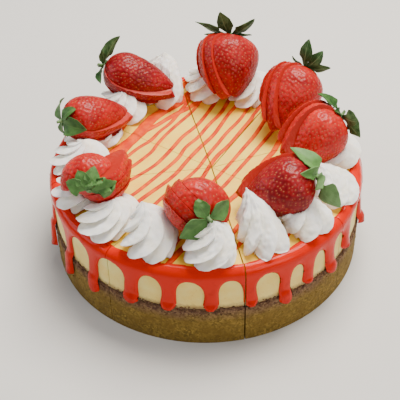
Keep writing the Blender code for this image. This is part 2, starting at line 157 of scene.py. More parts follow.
def cut_slice(whole, name, number):
    """Copies the whole round, and cuts away what lies beyond the knife cuts at either side of the slice."""
    piece = copied(whole, name)
    select_only(piece)
    bpy.ops.object.mode_set(mode="EDIT")
    for cut, side in ((number, 1), ((number + 1) % len(CUT_DEGREES), -1)):
        angle = math.radians(CUT_DEGREES[cut])
        beyond = Vector((math.sin(angle), -math.cos(angle), 0)) * side
        bpy.ops.mesh.select_all(action="SELECT")
        bpy.ops.mesh.bisect(plane_co=CUT_CENTRE - beyond * KERFS_MM[cut] * MM / 2, plane_no=beyond,
                            use_fill=True, clear_outer=True, threshold=KNIFE_THRESHOLD)
    bpy.ops.object.mode_set(mode="OBJECT")
    return piece


def finish_piece(piece, node, smooth_degrees=40):
    """Shades the piece, and says which body it moves with, which CAD node it stands for and its finish."""
    select_only(piece)
    bpy.ops.object.shade_smooth_by_angle(angle=math.radians(smooth_degrees))
    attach(piece, "root")
    if node:
        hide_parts(node)


def serve(whole, name, node, smooth_degrees=40):
    """Cuts the whole round into its slices, finishes each of them, and takes the whole away."""
    for number in range(len(CUT_DEGREES)):
        piece = cut_slice(whole, f"{name}_{number + 1}", number)
        finish_piece(piece, node and f"{node}_{number + 1}", smooth_degrees)
    bpy.data.objects.remove(whole)


def roughen(thing, name, kind, size, depth, group=None):
    """Raises and sinks the surface with a cloudy or a grainy pattern of that size."""
    pattern = bpy.data.textures.new(name, kind)
    pattern.noise_scale = size
    displace = thing.modifiers.new(name, "DISPLACE")
    displace.texture = pattern
    displace.texture_coords = "LOCAL"
    displace.strength = depth
    displace.mid_level = 0.5
    if group:
        displace.vertex_group = group


def arc(radius, height, size, steps):
    """A quarter circle that rounds the edge between a wall of that radius and a top at that height."""
    turns = [math.radians(90 * step / steps) for step in range(steps + 1)]
    return [(radius - size + size * math.cos(turn), height - size + size * math.sin(turn)) for turn in turns]


crust_wall = [(CAKE_RADIUS, (CRUST_HEIGHT - CRUST_EDGE) * step / CRUST_WALL_STEPS)
              for step in range(CRUST_WALL_STEPS)]
crust_top = [(CAKE_RADIUS - CRUST_EDGE - (CRUST_WALL - CRUST_EDGE) * step / 4, CRUST_HEIGHT)
             for step in (1, 2, 3, 4)]
whole_crust = lathe("whole_crust", [
    (0, 0), *crust_wall, *arc(CAKE_RADIUS, CRUST_HEIGHT, CRUST_EDGE, 3), *crust_top,
    (CAKE_RADIUS - CRUST_WALL, CRUST_BASE), (0, CRUST_BASE)], CRUST_ROUND_STEPS)
outside = whole_crust.vertex_groups.new(name="outside")
for vert in whole_crust.data.vertices:
    reach = math.hypot(vert.co.x, vert.co.y)
    if reach > CAKE_RADIUS - CRUST_WALL + 0.1 * MM:
        # The foot stays on its circle, and the ragged upper edge is the roughest
        rise = vert.co.z / CRUST_HEIGHT
        ragged = max(0, (rise - RAGGED_FROM) / (1 - RAGGED_FROM))
        rough = min(1, 6 * rise) * (SMOOTHER_WALL + (1 - SMOOTHER_WALL) * ragged)
        outside.add([vert.index], rough, "REPLACE")
roughen(whole_crust, "pressed lumps", "CLOUDS", 9 * MM, 1.0 * MM, "outside")
roughen(whole_crust, "crumb grain", "CLOUDS", 1.7 * MM, 1.3 * MM, "outside")
apply_modifiers(whole_crust)

# Butter biscuit crumb, pressed and baked: dry, matt and grainy, golden where the tin touched it and brown
# where the ragged edge caught the heat
crumb_finish, shader = new_material("baked_biscuit_crumb", Roughness=0.82, Specular_IOR_Level=0.3, IOR=1.45)
place = add_node(crumb_finish, "TexCoord").outputs["Object"]
grain = add_node(crumb_finish, "TexVoronoi", {"Scale": 1 / (1.3 * MM)}, {"Vector": place})
warp = add_node(crumb_finish, "TexNoise", {"Scale": 1 / (0.6 * MM), "Detail": 3}, {"Vector": place})
patch = add_node(crumb_finish, "TexNoise", {"Scale": 1 / (11 * MM), "Detail": 4, "Roughness": 0.6},
                 {"Vector": place})
tone = add_node(crumb_finish, "MapRange", {"From Min": 0.2, "From Max": 0.85},
                {"Value": grain.outputs["Color"]})
golden = add_node(crumb_finish, "Mix", {FIRST: linear("#64501e"), SECOND: linear("#9c7e38")},
                  {SHARE: tone.outputs[0]}, data_type="RGBA")
mottle = add_node(crumb_finish, "MapRange", {"From Min": 0.35, "From Max": 0.7}, {"Value": patch.outputs[0]})
toasted = add_node(crumb_finish, "Mix", {SECOND: linear("#745a22")},
                   {SHARE: mottle.outputs[0], FIRST: golden.outputs[MIXED]}, data_type="RGBA")
split = add_node(crumb_finish, "SeparateXYZ", links={"Vector": place})
ragged = add_node(crumb_finish, "Math", {1: 9 * MM}, {0: patch.outputs[0]}, operation="MULTIPLY")
level = add_node(crumb_finish, "Math", links={0: split.outputs["Z"], 1: ragged.outputs[0]}, operation="ADD")
brown = add_node(crumb_finish, "MapRange", {"From Min": 26 * MM, "From Max": 35 * MM},
                 {"Value": level.outputs[0]})
dark = add_node(crumb_finish, "Mix", {FIRST: linear("#54382a"), SECOND: linear("#8a6a4c")},
                {SHARE: tone.outputs[0]}, data_type="RGBA")
crumbly = add_node(crumb_finish, "Mix",
                   links={SHARE: brown.outputs[0], FIRST: toasted.outputs[MIXED],
                          SECOND: dark.outputs[MIXED]}, data_type="RGBA")
fleck = add_node(crumb_finish, "MapRange", {"From Min": 0.63, "From Max": 0.7}, {"Value": warp.outputs[0]})
flecked = add_node(crumb_finish, "Mix", {SECOND: linear("#5c3a1c")},
                   {SHARE: fleck.outputs[0], FIRST: crumbly.outputs[MIXED]}, data_type="RGBA")
relief = add_node(crumb_finish, "Math",
                  links={0: grain.outputs["Distance"], 1: warp.outputs[0]}, operation="ADD")
bump = add_node(crumb_finish, "Bump", {"Strength": 0.45, "Distance": 0.35 * MM},
                {"Height": relief.outputs[0]})
feed_shader(crumb_finish, shader, flecked, bump)
whole_crust.data.materials.append(crumb_finish)

serve(whole_crust, "crumb_crust", "crust", 50)

# ---- Loose crumbs on the crust --------------------------------------------------------------------------
# Grains of the same biscuit that stick to the ragged upper edge of the crust, where the filling begins, and
# here and there lower down. Each is an angular grain of its own size, half sunk in the wall.
CRUMB_COUNT = 2600
# One crumb in so many sits low on the wall, and the others along the ragged edge
LOW_CRUMB = 5
LOW_HEIGHTS_MM = (3, 31)
LOW_SIZE = 0.75
EDGE_HEIGHT_MM = 32.2
EDGE_SPREAD_MM = 1.3
HIGHEST_CRUMB = 35.5 * MM
CRUMB_SIZES_MM = (0.35, 0.95)


def taken_shape(made):
    """The corners and sides of a small shape, for its many copies. The shape itself is removed."""
    corners = [vert.co.copy() for vert in made.data.vertices]
    sides = [tuple(face.vertices) for face in made.data.polygons]
    bpy.data.objects.remove(made)
    return corners, sides


def scattered(name, points, faces):
    """One object of many loose grains."""
    mesh = bpy.data.meshes.new(name)
    mesh.from_pydata(points, [], faces)
    made = bpy.data.objects.new(name, mesh)
    bpy.context.scene.collection.objects.link(made)
    return made


draw = random.Random(21)
bpy.ops.mesh.primitive_ico_sphere_add(subdivisions=1, radius=1)
corners, sides = taken_shape(named("one_crumb"))
points, faces = [], []
for number in range(CRUMB_COUNT):
    turn = draw.uniform(0, math.tau)
    low_down = number % LOW_CRUMB == 0
    height = (draw.uniform(*LOW_HEIGHTS_MM) if low_down else draw.gauss(EDGE_HEIGHT_MM, EDGE_SPREAD_MM)) * MM
    size = draw.uniform(*CRUMB_SIZES_MM) * MM * (LOW_SIZE if low_down else 1)
    near_cut = False
    for degrees, kerf in zip(CUT_DEGREES, KERFS_MM):
        along = Vector((math.cos(math.radians(degrees)), math.sin(math.radians(degrees)), 0))
        spot = Vector((math.cos(turn), math.sin(turn), 0)) * CAKE_RADIUS - CUT_CENTRE
        near_cut |= spot.dot(along) > 0 and abs(spot.cross(along).z) < size * 1.3 + kerf * MM / 2
    reach = CAKE_RADIUS if height < CRUST_HEIGHT - MM else CAKE_RADIUS - 0.9 * MM
    reach += size * draw.uniform(-0.35, 0.15)
    if near_cut or height > HIGHEST_CRUMB:
        continue
    roll = draw.uniform(0, math.tau)
    placed = (Matrix.Rotation(turn, 4, "Z") @ Matrix.Translation((reach, 0, height))
              @ Matrix.Rotation(roll, 4, Vector((draw.gauss(0, 1), draw.gauss(0, 1), 1))))
    stretch = Vector((1, draw.uniform(0.7, 1.3), draw.uniform(0.6, 1.1)))
    start = len(points)
    for corner in corners:
        chipped = [value * wide * size * draw.uniform(0.8, 1.2) for value, wide in zip(corner, stretch)]
        points.append(placed @ Vector(chipped))
    faces += [tuple(start + at for at in side) for side in sides]
crumbs = scattered("crust_crumbs", points, faces)
crumbs.data.materials.append(crumb_finish)
finish_piece(crumbs, None, 25)

# ---- The filling ----------------------------------------------------------------------------------------
# Baked cream cheese, egg and sugar, set in the crust and a little narrower than it. The tin left its wall
# smooth, its rim rounded as it rose, and the knife cuts run right through it.
GAP = 0.3 * MM
CAKE_HEIGHT = 67 * MM
FILLING_RADIUS = CAKE_RADIUS - 1.2 * MM
RIM_ROUND = 5 * MM
FILLING_WALL_STEPS = 16
FILLING_TOP_STEPS = 10
FILLING_ROUND_STEPS = 480
filling_inside = CAKE_RADIUS - CRUST_WALL - GAP
wall_rise = CAKE_HEIGHT - RIM_ROUND - CRUST_HEIGHT - GAP
filling_wall = [(FILLING_RADIUS, CRUST_HEIGHT + GAP + wall_rise * step / FILLING_WALL_STEPS)
                for step in range(FILLING_WALL_STEPS)]
filling_top = [((FILLING_RADIUS - RIM_ROUND) * (1 - step / FILLING_TOP_STEPS), CAKE_HEIGHT)
               for step in range(1, FILLING_TOP_STEPS + 1)]
whole_filling = lathe("whole_filling", [
    (0, CRUST_BASE + GAP), (filling_inside, CRUST_BASE + GAP), (filling_inside, CRUST_HEIGHT + GAP),
    *filling_wall, *arc(FILLING_RADIUS, CAKE_HEIGHT, RIM_ROUND, 8), *filling_top], FILLING_ROUND_STEPS)
wall_group = whole_filling.vertex_groups.new(name="wall")
wall_group.add([vert.index for vert in whole_filling.data.vertices
                if CRUST_HEIGHT + 2 * GAP < vert.co.z < CAKE_HEIGHT - RIM_ROUND], 1, "REPLACE")
roughen(whole_filling, "baked waves", "CLOUDS", 14 * MM, 0.4 * MM, "wall")
apply_modifiers(whole_filling)

# Baked cheesecake: pale cream yellow, close and moist, so light sinks a few millimetres into it. Its top is
# satin, with a faint mottling and the pinholes of burst air bubbles
filling_finish, shader = new_material("baked_cream_cheese", Roughness=0.48, Specular_IOR_Level=0.35, IOR=1.44,
                                      Subsurface_Weight=0.35, Subsurface_Radius=(1.0, 0.62, 0.3),
                                      Subsurface_Scale=4 * MM)
place = add_node(filling_finish, "TexCoord").outputs["Object"]
cloud = add_node(filling_finish, "TexNoise", {"Scale": 1 / (16 * MM), "Detail": 5, "Roughness": 0.6},
                 {"Vector": place})
tone = add_node(filling_finish, "MapRange", {"From Min": 0.35, "From Max": 0.68}, {"Value": cloud.outputs[0]})
creamy = add_node(filling_finish, "Mix", {FIRST: linear("#f6e28c"), SECOND: linear("#f2d06a")},
                  {SHARE: tone.outputs[0]}, data_type="RGBA")
# The top is painted a deeper, warmer yellow than the wall: painted warm light from above, mixed in by height
golden = add_node(filling_finish, "Mix", {FIRST: linear("#ffd855"), SECOND: linear("#ffc640")},
                  {SHARE: tone.outputs[0]}, data_type="RGBA")
split = add_node(filling_finish, "SeparateXYZ", links={"Vector": place})
on_top = add_node(filling_finish, "MapRange",
                  {"From Min": CAKE_HEIGHT - 3 * MM, "From Max": CAKE_HEIGHT - MM / 2},
                  {"Value": split.outputs["Z"]})
baked = add_node(filling_finish, "Mix",
                 links={SHARE: on_top.outputs[0], FIRST: creamy.outputs[MIXED],
                        SECOND: golden.outputs[MIXED]}, data_type="RGBA")
pore = add_node(filling_finish, "TexVoronoi", {"Scale": 1 / (2.6 * MM), "Randomness": 1.0}, {"Vector": place})
hole = add_node(filling_finish, "MapRange", {"From Min": 0.1, "From Max": 0.17, "To Min": 1, "To Max": 0},
                {"Value": pore.outputs["Distance"]})
few = add_node(filling_finish, "MapRange", {"From Min": 0.52, "From Max": 0.6}, {"Value": cloud.outputs[0]})
pinhole = add_node(filling_finish, "Math",
                   links={0: hole.outputs[0], 1: few.outputs[0]}, operation="MULTIPLY")
# The pinholes are painted a darker gold: painted shade in the pits
painted_pit_light = add_node(filling_finish, "Mix", {SECOND: linear("#d9a850")},
                  {SHARE: pinhole.outputs[0], FIRST: baked.outputs[MIXED]}, data_type="RGBA")
skin = add_node(filling_finish, "TexNoise", {"Scale": 1 / (1.1 * MM), "Detail": 3}, {"Vector": place})
relief = add_node(filling_finish, "Math",
                  links={0: skin.outputs[0], 1: pinhole.outputs[0]}, operation="SUBTRACT")
bump = add_node(filling_finish, "Bump", {"Strength": 0.18, "Distance": 0.3 * MM},
                {"Height": relief.outputs[0]})
# Butter and brown crumb from the crust have soaked into its foot, higher here and lower there
ragged = add_node(filling_finish, "TexNoise", {"Scale": 1 / (4 * MM), "Detail": 4, "Roughness": 0.7},
                  {"Vector": place})
lift = add_node(filling_finish, "Math", {1: 7 * MM}, {0: ragged.outputs[0]}, operation="MULTIPLY")
level = add_node(filling_finish, "Math",
                 links={0: split.outputs["Z"], 1: lift.outputs[0]}, operation="SUBTRACT")
soak = add_node(filling_finish, "MapRange",
                {"From Min": 31 * MM, "From Max": 34.5 * MM, "To Min": 0.75, "To Max": 0},
                {"Value": level.outputs[0]})
soaked = add_node(filling_finish, "Mix", {SECOND: linear("#8a6a4e")},
                  {SHARE: soak.outputs[0], FIRST: painted_pit_light.outputs[MIXED]}, data_type="RGBA")
feed_shader(filling_finish, shader, soaked, bump)
whole_filling.data.materials.append(filling_finish)

serve(whole_filling, "baked_filling", "filling")

# ---- The glaze over the rim -----------------------------------------------------------------------------
# Strawberries boiled with sugar and sieved, poured round the rim while warm: a collar on the rim that ran
# down the wall in drips, which set with round fat ends. It was cut through with the cake.
GLAZE_INNER_RADIUS = 106 * MM
GLAZE_THICKNESS = 1.3 * MM
# Over the wider crust, up to this height, the glaze stands a step further out
GLAZE_STEP = 1.8 * MM
GLAZE_STEP_HEIGHT = CRUST_HEIGHT + 4 * MM
DRIP_BULGE = 1.5 * MM
DRIP_HALF_WIDTH = 5.5 * MM
COLLAR_EDGE = 60.8 * MM
FILLET = 14 * MM
# The glaze ran thickest at either side of the cake, and in the broadest streams at the right
SIDE_SWELL = 1.3
BROAD_DRIPS = (4, 21)
BROAD_SHARE = 1.9
BROAD_BULGE = 1.5
EDGE_ROUND = 2.0 * MM
# The glaze starts as a fine grid of this spacing, and its points up to this share of it move on to the edge
GRID = 0.9 * MM
GRID_PULL = 0.52
GLAZE_ROUND_STEPS = 780
SHEET_FOOT = 8 * MM
# The first radius of the grid's rings on top, their end and their spacing
SHEET_TOP_RADII_MM = (103.2, 107.6, 0.8)
# How far the collar's lower edge, each drip and the inner edge wander from an even course
COLLAR_WANDER = 0.5 * MM
COLLAR_RIPPLE = 0.35 * MM
DRIP_SWAY = 0.5 * MM
DRIP_SWAY_LENGTH = 6 * MM
INNER_WANDER = 0.9 * MM
INNER_RIPPLE = 0.7 * MM
POURED_WAVES = 0.25 * MM
DRIP_DEGREES = (-168, -149, -134, -117.5, -104, -89.5, -76, -63, -53, -42, -31, -13,
                4, 21, 38, 55, 73, 90, 108, 126, 143, 160, 176)
DRIP_ENDS_MM = (12, 17, 23, 31, 33, 34, 34, 27, 35, 30, 36, 29, 38, 27, 33, 24, 36, 29, 34, 25, 32, 30, 52)
draw = random.Random(8)
drips = [(math.radians(degrees), end * MM,
          DRIP_HALF_WIDTH * draw.uniform(0.84, 1.04) * (BROAD_SHARE if degrees in BROAD_DRIPS else 1),
          draw.uniform(0, math.tau), degrees in BROAD_DRIPS)
         for degrees, end in zip(DRIP_DEGREES, DRIP_ENDS_MM)]


def vertex_places(mesh):
    """The places of the mesh's points, one row each."""
    places = np.empty(len(mesh.vertices) * 3)
    mesh.vertices.foreach_get("co", places)
    return places.reshape(-1, 3)


def point_values(mesh, name, values):
    """Keeps a number for each point of the mesh, which its material reads."""
    layer = mesh.attributes.new(name, "FLOAT", "POINT")
    layer.data.foreach_set("value", np.asarray(values, np.float32))


def blended_least(first, second, blend):
    """The lesser of two distances, with a rounded fillet where they meet."""
    share = np.clip(0.5 + 0.5 * (second - first) / blend, 0, 1)
    return second + (first - second) * share - blend * share * (1 - share)


def across_drip(angle, height, middle, phase):
    """How far points on the wall lie to the side of a drip, which sways a little as it runs down."""
    turn = (angle - middle + math.pi) % math.tau - math.pi
    return turn * CAKE_RADIUS + DRIP_SWAY * np.sin(height / DRIP_SWAY_LENGTH + phase)


def beyond_glaze(angle, height):
    """How far points on the wall lie outside the glaze, in metres, and less than nothing inside it."""
    far = COLLAR_EDGE + COLLAR_WANDER * np.sin(5 * angle) + COLLAR_RIPPLE * np.sin(13 * angle + 1) - height
    for middle, end, half, phase, _ in drips:
        across = across_drip(angle, height, middle, phase)
        run = np.clip((COLLAR_EDGE - height) / (COLLAR_EDGE - end - half), 0, 1)
        wide = half * (0.92 + 0.14 * run ** 4)
        below = np.maximum(0, end + half - height)
        far = blended_least(far, np.hypot(across, below) - wide, FILLET)
    return far


def drip_swell(angle, height):
    """The extra thickness of the glaze down the middle of each drip."""
    swell = np.zeros_like(angle)
    for middle, end, half, phase, broad in drips:
        across = across_drip(angle, height, middle, phase)
        run = np.clip((COLLAR_EDGE + 2 * MM - height) / (COLLAR_EDGE + 2 * MM - end), 0, 1)
        # A broad stream hangs off the rim all the way down, and a narrow one is fattest at its end
        bulge = DRIP_BULGE * (BROAD_BULGE * run ** 0.5 if broad else run ** 1.5)
        swell = np.maximum(swell, bulge * np.clip(1 - (across / half / 1.1) ** 2, 0, 1))
    return swell * (1 + SIDE_SWELL * np.cos(angle) ** 4)


sheet_radius = FILLING_RADIUS + GAP
wall_height = CAKE_HEIGHT - RIM_ROUND - SHEET_FOOT
sheet_top = [(radius * MM, CAKE_HEIGHT + GAP) for radius in np.arange(*SHEET_TOP_RADII_MM)]
sheet_wall = [(sheet_radius, CAKE_HEIGHT - RIM_ROUND - step * GRID)
              for step in range(1, int(wall_height / GRID))]
sheet_rim = arc(sheet_radius, CAKE_HEIGHT + GAP, RIM_ROUND + GAP, 10)[::-1]
whole_glaze = lathe("whole_glaze", [*sheet_top, *sheet_rim, *sheet_wall], GLAZE_ROUND_STEPS, closed=False)
co = vertex_places(whole_glaze.data)
angle, reach, height = np.arctan2(co[:, 1], co[:, 0]), np.hypot(co[:, 0], co[:, 1]), co[:, 2].copy()
inner_edge = GLAZE_INNER_RADIUS + INNER_WANDER * np.sin(9 * angle) + INNER_RIPPLE * np.sin(23 * angle + 2)
on_top = height > CAKE_HEIGHT
for _ in range(2):
    # The grid's points nearest the glaze's outline move on to it
    far = beyond_glaze(angle, height)
    step = 0.05 * MM
    slope_s = (beyond_glaze(angle + step / CAKE_RADIUS, height) - far) / step
    slope_z = (beyond_glaze(angle, height + step) - far) / step
    close = (np.abs(far) < GRID_PULL * GRID) & ~on_top
    size = np.maximum(slope_s ** 2 + slope_z ** 2, 0.2)
    angle = np.where(close, angle - far * slope_s / size / CAKE_RADIUS, angle)
    height = np.where(close, height - far * slope_z / size, height)
outside_top = inner_edge - reach
close_top = (np.abs(outside_top) < GRID_PULL * GRID) & on_top
reach = np.where(close_top, inner_edge, reach)
far = np.where(on_top, inner_edge - reach, beyond_glaze(angle, height))
far = np.where(close_top, 0, far)
stand_off = GLAZE_STEP * np.clip((GLAZE_STEP_HEIGHT + 2 * MM - height) / (4 * MM), 0, 1)
reach = reach + np.where(on_top, 0, stand_off)
co = np.stack([reach * np.cos(angle), reach * np.sin(angle), height], 1)
whole_glaze.data.vertices.foreach_set("co", co.ravel())
inside = np.clip(-far / EDGE_ROUND, 0, 1)
waves = np.array([noise.noise(Vector(spot) / (7 * MM)) for spot in co])
poured = GLAZE_THICKNESS + np.where(on_top, 0, drip_swell(angle, height)) + POURED_WAVES * waves
thick = poured * np.sqrt(1 - (1 - inside) ** 2)
full = float(thick.max())
group = whole_glaze.vertex_groups.new(name="thickness")
for index, value in enumerate(thick):
    group.add([index], value / full, "REPLACE")
point_values(whole_glaze.data, "depth", thick / full)
loose = bmesh.new()
loose.from_mesh(whole_glaze.data)
loose.verts.ensure_lookup_table()
bare = [loose.verts[index] for index in np.flatnonzero(far > 0.02 * MM)]
bmesh.ops.delete(loose, geom=bare, context="VERTS")
loose.to_mesh(whole_glaze.data)
loose.free()
thicken = whole_glaze.modifiers.new("poured thickness", "SOLIDIFY")
thicken.thickness = full
thicken.offset = 1
thicken.vertex_group = "thickness"
apply_modifiers(whole_glaze)
select_only(whole_glaze)
bpy.ops.object.mode_set(mode="EDIT")
bpy.ops.mesh.select_all(action="SELECT")
bpy.ops.mesh.remove_doubles(threshold=MM / 100)
bpy.ops.object.mode_set(mode="OBJECT")

# Strawberry gel: clear sugar syrup full of red fruit juice. Thin it is bright orange red, and where it is
# thick, as in the ends of the drips, it is deep red. It dried with a wet gloss
glaze_finish, shader = new_material("sieved_strawberry_gel", Roughness=0.13, IOR=1.38,
                                    Specular_IOR_Level=0.22, Subsurface_Weight=0.04,
                                    Subsurface_Radius=(1.0, 0.12, 0.05), Subsurface_Scale=2 * MM)
place = add_node(glaze_finish, "TexCoord").outputs["Object"]
thickness = add_node(glaze_finish, "Attribute", attribute_name="depth")
swirl = add_node(glaze_finish, "TexNoise", {"Scale": 1 / (6 * MM), "Detail": 3}, {"Vector": place})
uneven = add_node(glaze_finish, "MapRange",
                  {"From Min": 0.3, "From Max": 0.7, "To Min": -0.18, "To Max": 0.18},
                  {"Value": swirl.outputs[0]})
sum_depth = add_node(glaze_finish, "Math", links={0: thickness.outputs["Fac"], 1: uneven.outputs[0]},
                     operation="ADD", use_clamp=True)
deep = add_node(glaze_finish, "MapRange", {"From Min": 0.3, "From Max": 0.95},
                {"Value": sum_depth.outputs[0]})
red = add_node(glaze_finish, "Mix", {FIRST: linear("#d41c00"), SECOND: linear("#860800")},
               {SHARE: deep.outputs[0]}, data_type="RGBA")
ripple = add_node(glaze_finish, "TexNoise", {"Scale": 1 / (3.5 * MM), "Detail": 2}, {"Vector": place})
bump = add_node(glaze_finish, "Bump", {"Strength": 0.12, "Distance": 0.5 * MM}, {"Height": ripple.outputs[0]})
feed_shader(glaze_finish, shader, red, bump)
whole_glaze.data.materials.append(glaze_finish)

serve(whole_glaze, "rim_glaze", "glaze", 60)

# ---- The lines of sauce on top --------------------------------------------------------------------------
# The same sieved strawberry, run from a spoon in side by side lines before the cake was cut. Each line lies
# a little wavy and thicker where the spoon slowed, and one at the back left runs double.
SAUCE_HALF_WIDTH = 1.2 * MM
SAUCE_HEIGHT = 0.5 * MM
SAUCE_SPREAD = 1.3
SAUCE_EDGE = 105 * MM
SAUCE_RUN_ON = 6 * MM
# How far apart the lines' bends and their thicker places lie
SAUCE_BEND = 9 * MM
SAUCE_SLOWING = 13 * MM
# Points that each line passes, as (x, y) in mm, from the back right to the front left
SAUCE_LINES = (
    (1.3, ((-72, 66), (-82, 48))),
    (2.6, ((-61, 53), (-69, 36))),
    (3.4, ((-29, 67), (-39, 57), (-45, 48), (-48, 40), (-52, 34))),
    (1.6, ((-51, 35), (-59, 28), (-67, 19))),
    (2.0, ((-50, 35), (-57, 22), (-64, 10))),
    (1.2, ((-11, 79), (-19, 63), (-26, 50), (-34, 39), (-41, 29), (-48, 21), (-54, 14), (-60, 6))),
    (1.2, ((-2, 79), (-9, 63), (-19, 50), (-28, 37), (-36, 24), (-39, 15), (-46, 7), (-53, -1))),
    (1.2, ((8, 73), (3, 60), (-6, 46), (-17, 32), (-23, 21), (-32, 6), (-38, -2), (-49, -12))),
    (1.2, ((18, 72), (13, 59), (3, 46), (-5, 31), (-15, 19), (-19, 7), (-30, -8), (-48, -28))),
    (1.2, ((26, 71), (19, 59), (13, 45), (6, 33), (-3, 20), (-13, 3), (-23, -13), (-43, -35))),
    (1.2, ((33, 63), (27, 49), (17, 36), (9, 22), (1, 8), (-5, -5), (-15, -17), (-23, -27))),
    (1.3, ((36, 52), (26, 34), (18, 20), (9, 9), (2, -5), (-2, -15))),
    (1.2, ((48, 53), (39, 32), (29, 16), (19, 0), (8, -17))),
    (1.2, ((48, 31), (39, 17), (31, 3), (22, -10), (13, -25))),
    (1.6, ((46, 5), (38, -9), (32, -20), (27, -27))),
    (1.4, ((62, 4), (54, -10), (46, -24), (38, -38))),
    (1.3, ((76, -6), (68, -20), (58, -34))),
    (1.3, ((86, -22), (78, -36))),
)


def joined(pieces, name):
    """Joins the pieces to the first of them."""
    bpy.ops.object.select_all(action="DESELECT")
    for piece in pieces:
        piece.select_set(True)
    bpy.context.view_layer.objects.active = pieces[0]
    bpy.ops.object.join()
    return named(name)


def sauce_line(name, path, half):
    """A soft line through the points, run on in its own direction to the glaze at both ends."""
    path = [Vector((x * MM, y * MM, 0)) for x, y in path]
    for end, before in ((0, 1), (-1, -2)):
        way = (path[end] - path[before]).normalized() * SAUCE_RUN_ON
        while path[end].length < SAUCE_EDGE:
            path.insert(0 if end == 0 else len(path), path[end] + way)
    curve = bpy.data.curves.new(name, "CURVE")
    curve.dimensions = "3D"
    spline = curve.splines.new("NURBS")
    spline.points.add(len(path) - 1)
    spline.use_endpoint_u = True
    spline.order_u = 3
    for point, spot in zip(spline.points, path):
        wander = noise.noise(spot / SAUCE_BEND + Vector((0, 0, 5)))
        point.co = (spot.x + wander * MM, spot.y - wander * MM, CAKE_HEIGHT, 1)
        point.radius = SAUCE_SPREAD * half / MM * (1 + 0.3 * noise.noise(spot / SAUCE_SLOWING))
    curve.bevel_depth = MM
    curve.bevel_resolution = 2
    curve.resolution_u = 8
    curve.use_fill_caps = True
    made = bpy.data.objects.new(name, curve)
    bpy.context.scene.collection.objects.link(made)
    select_only(made)
    bpy.ops.object.convert(target="MESH")
    made = bpy.context.object
    for vert in made.data.vertices:
        rise = (vert.co.z - CAKE_HEIGHT) * SAUCE_HEIGHT / SAUCE_HALF_WIDTH
        vert.co.z = CAKE_HEIGHT + 0.05 * MM + max(0, rise)
    return made


all_lines = joined([sauce_line(f"sauce_line_{number + 1}", path, width * MM)
                    for number, (width, path) in enumerate(SAUCE_LINES)], "all_sauce_lines")

# The same gel in a film so thin that the filling shines through it: orange red, paler where it soaked in
sauce_finish, shader = new_material("thin_strawberry_gel", Roughness=0.5, IOR=1.4, Specular_IOR_Level=0.15)
place = add_node(sauce_finish, "TexCoord").outputs["Object"]
soak = add_node(sauce_finish, "TexNoise", {"Scale": 1 / (8 * MM), "Detail": 3}, {"Vector": place})
tone = add_node(sauce_finish, "MapRange", {"From Min": 0.35, "From Max": 0.65}, {"Value": soak.outputs[0]})
orange = add_node(sauce_finish, "Mix", {FIRST: linear("#cc2e00"), SECOND: linear("#ee5a08")},
                  {SHARE: tone.outputs[0]}, data_type="RGBA")
feed_shader(sauce_finish, shader, orange)
all_lines.data.materials.clear()
all_lines.data.materials.append(sauce_finish)
serve(all_lines, "sauce_lines", None, 60)

# ---- The cream rosettes ---------------------------------------------------------------------------------
# Cream whipped with sugar until stiff, and piped through a large star nozzle in one turn that ends in a
# pulled up point. They stand side by side on the rim, so close that they press against each other.
ROSETTE_RING_RADIUS = 92 * MM
ROSETTE_SHARES = (0.25, 0.75)
ROSETTE_RADIUS = 23.5 * MM
ROSETTE_SPREAD = 0.04
ROSETTE_RIDGES = 7
# Each rosette's height in mm, the twist of its ridges in degrees, and how far its point leans, in mm
ROSETTES = (
    (22, 140, -4, -2), (21, 150, -3, -3), (24, 150, -2, -4), (24, 140, 0, -4),
    (36, 90, 4, 7), (23, 130, 3, -3), (20, 150, 4, -1), (23, 160, 5, 0),
    (27, 170, 5, 2), (23, 175, 4, 4), (30, 175, -6, 10), (28, 170, 3, -1),
    (34, 100, -10, 17), (23, 100, -4, 4), (23, 120, -5, 2), (25, 130, -5, 0),
)
LEAN_POWER = 1.4
GROOVE_DEPTH = 0.5
# The share of the groove's depth that it has lost at the point
GROOVE_CLOSING = 0.45
RIDGE_CREST = 0.7
RIDGE_POWER = 0.85
# The share of its width that a rosette lacks at its point: one is pulled out thin, and one is a round dome
PINCHES = {5: -0.1, 13: 0.34}
PINCH_POWER = 0.7
SOFT_SIZE, SOFT_DEPTH = 7 * MM, 1.0 * MM
RUFFLE_SIZE, RUFFLE_DEPTH = 3.2 * MM, 0.9 * MM
# The nozzle tore the cream of these, so their ridges are ragged
TORN_ROSETTES = (4, 5, 12, 13, 14, 15)
TORN_DEPTH = 1.6 * MM
ROSETTE_POINTS = 210
ROSETTE_LEVELS = 46
LEVEL_CROWDING = 1.15
NARROWEST = 0.012
# Each ring of the rosette: its share of the height, and of the radius
ROSETTE_RINGS = ((0, 0.86), (0.2, 1.0), (0.45, 0.88), (0.68, 0.58), (0.88, 0.22), (1.0, NARROWEST))
CREAM_SQUEEZE = 0.55
GLAZE_CLEAR_RADIUS = 101.5 * MM
WIDTH_CURVE = np.polynomial.Polynomial.fit(*zip(*ROSETTE_RINGS), 4)


def ring_width(level):
    """How wide the rosette is at a share of its height, along a soft curve past the rings."""
    return max(NARROWEST, float(WIDTH_CURVE(level)))


def ridge(turn):
    """How far out the star stands: 0 in a groove and 1 on a crest, which falls off steeper on one side."""
    across = (ROSETTE_RIDGES * turn / math.tau + RIDGE_CREST) % 1
    return min(across / RIDGE_CREST, (1 - across) / (1 - RIDGE_CREST)) ** RIDGE_POWER


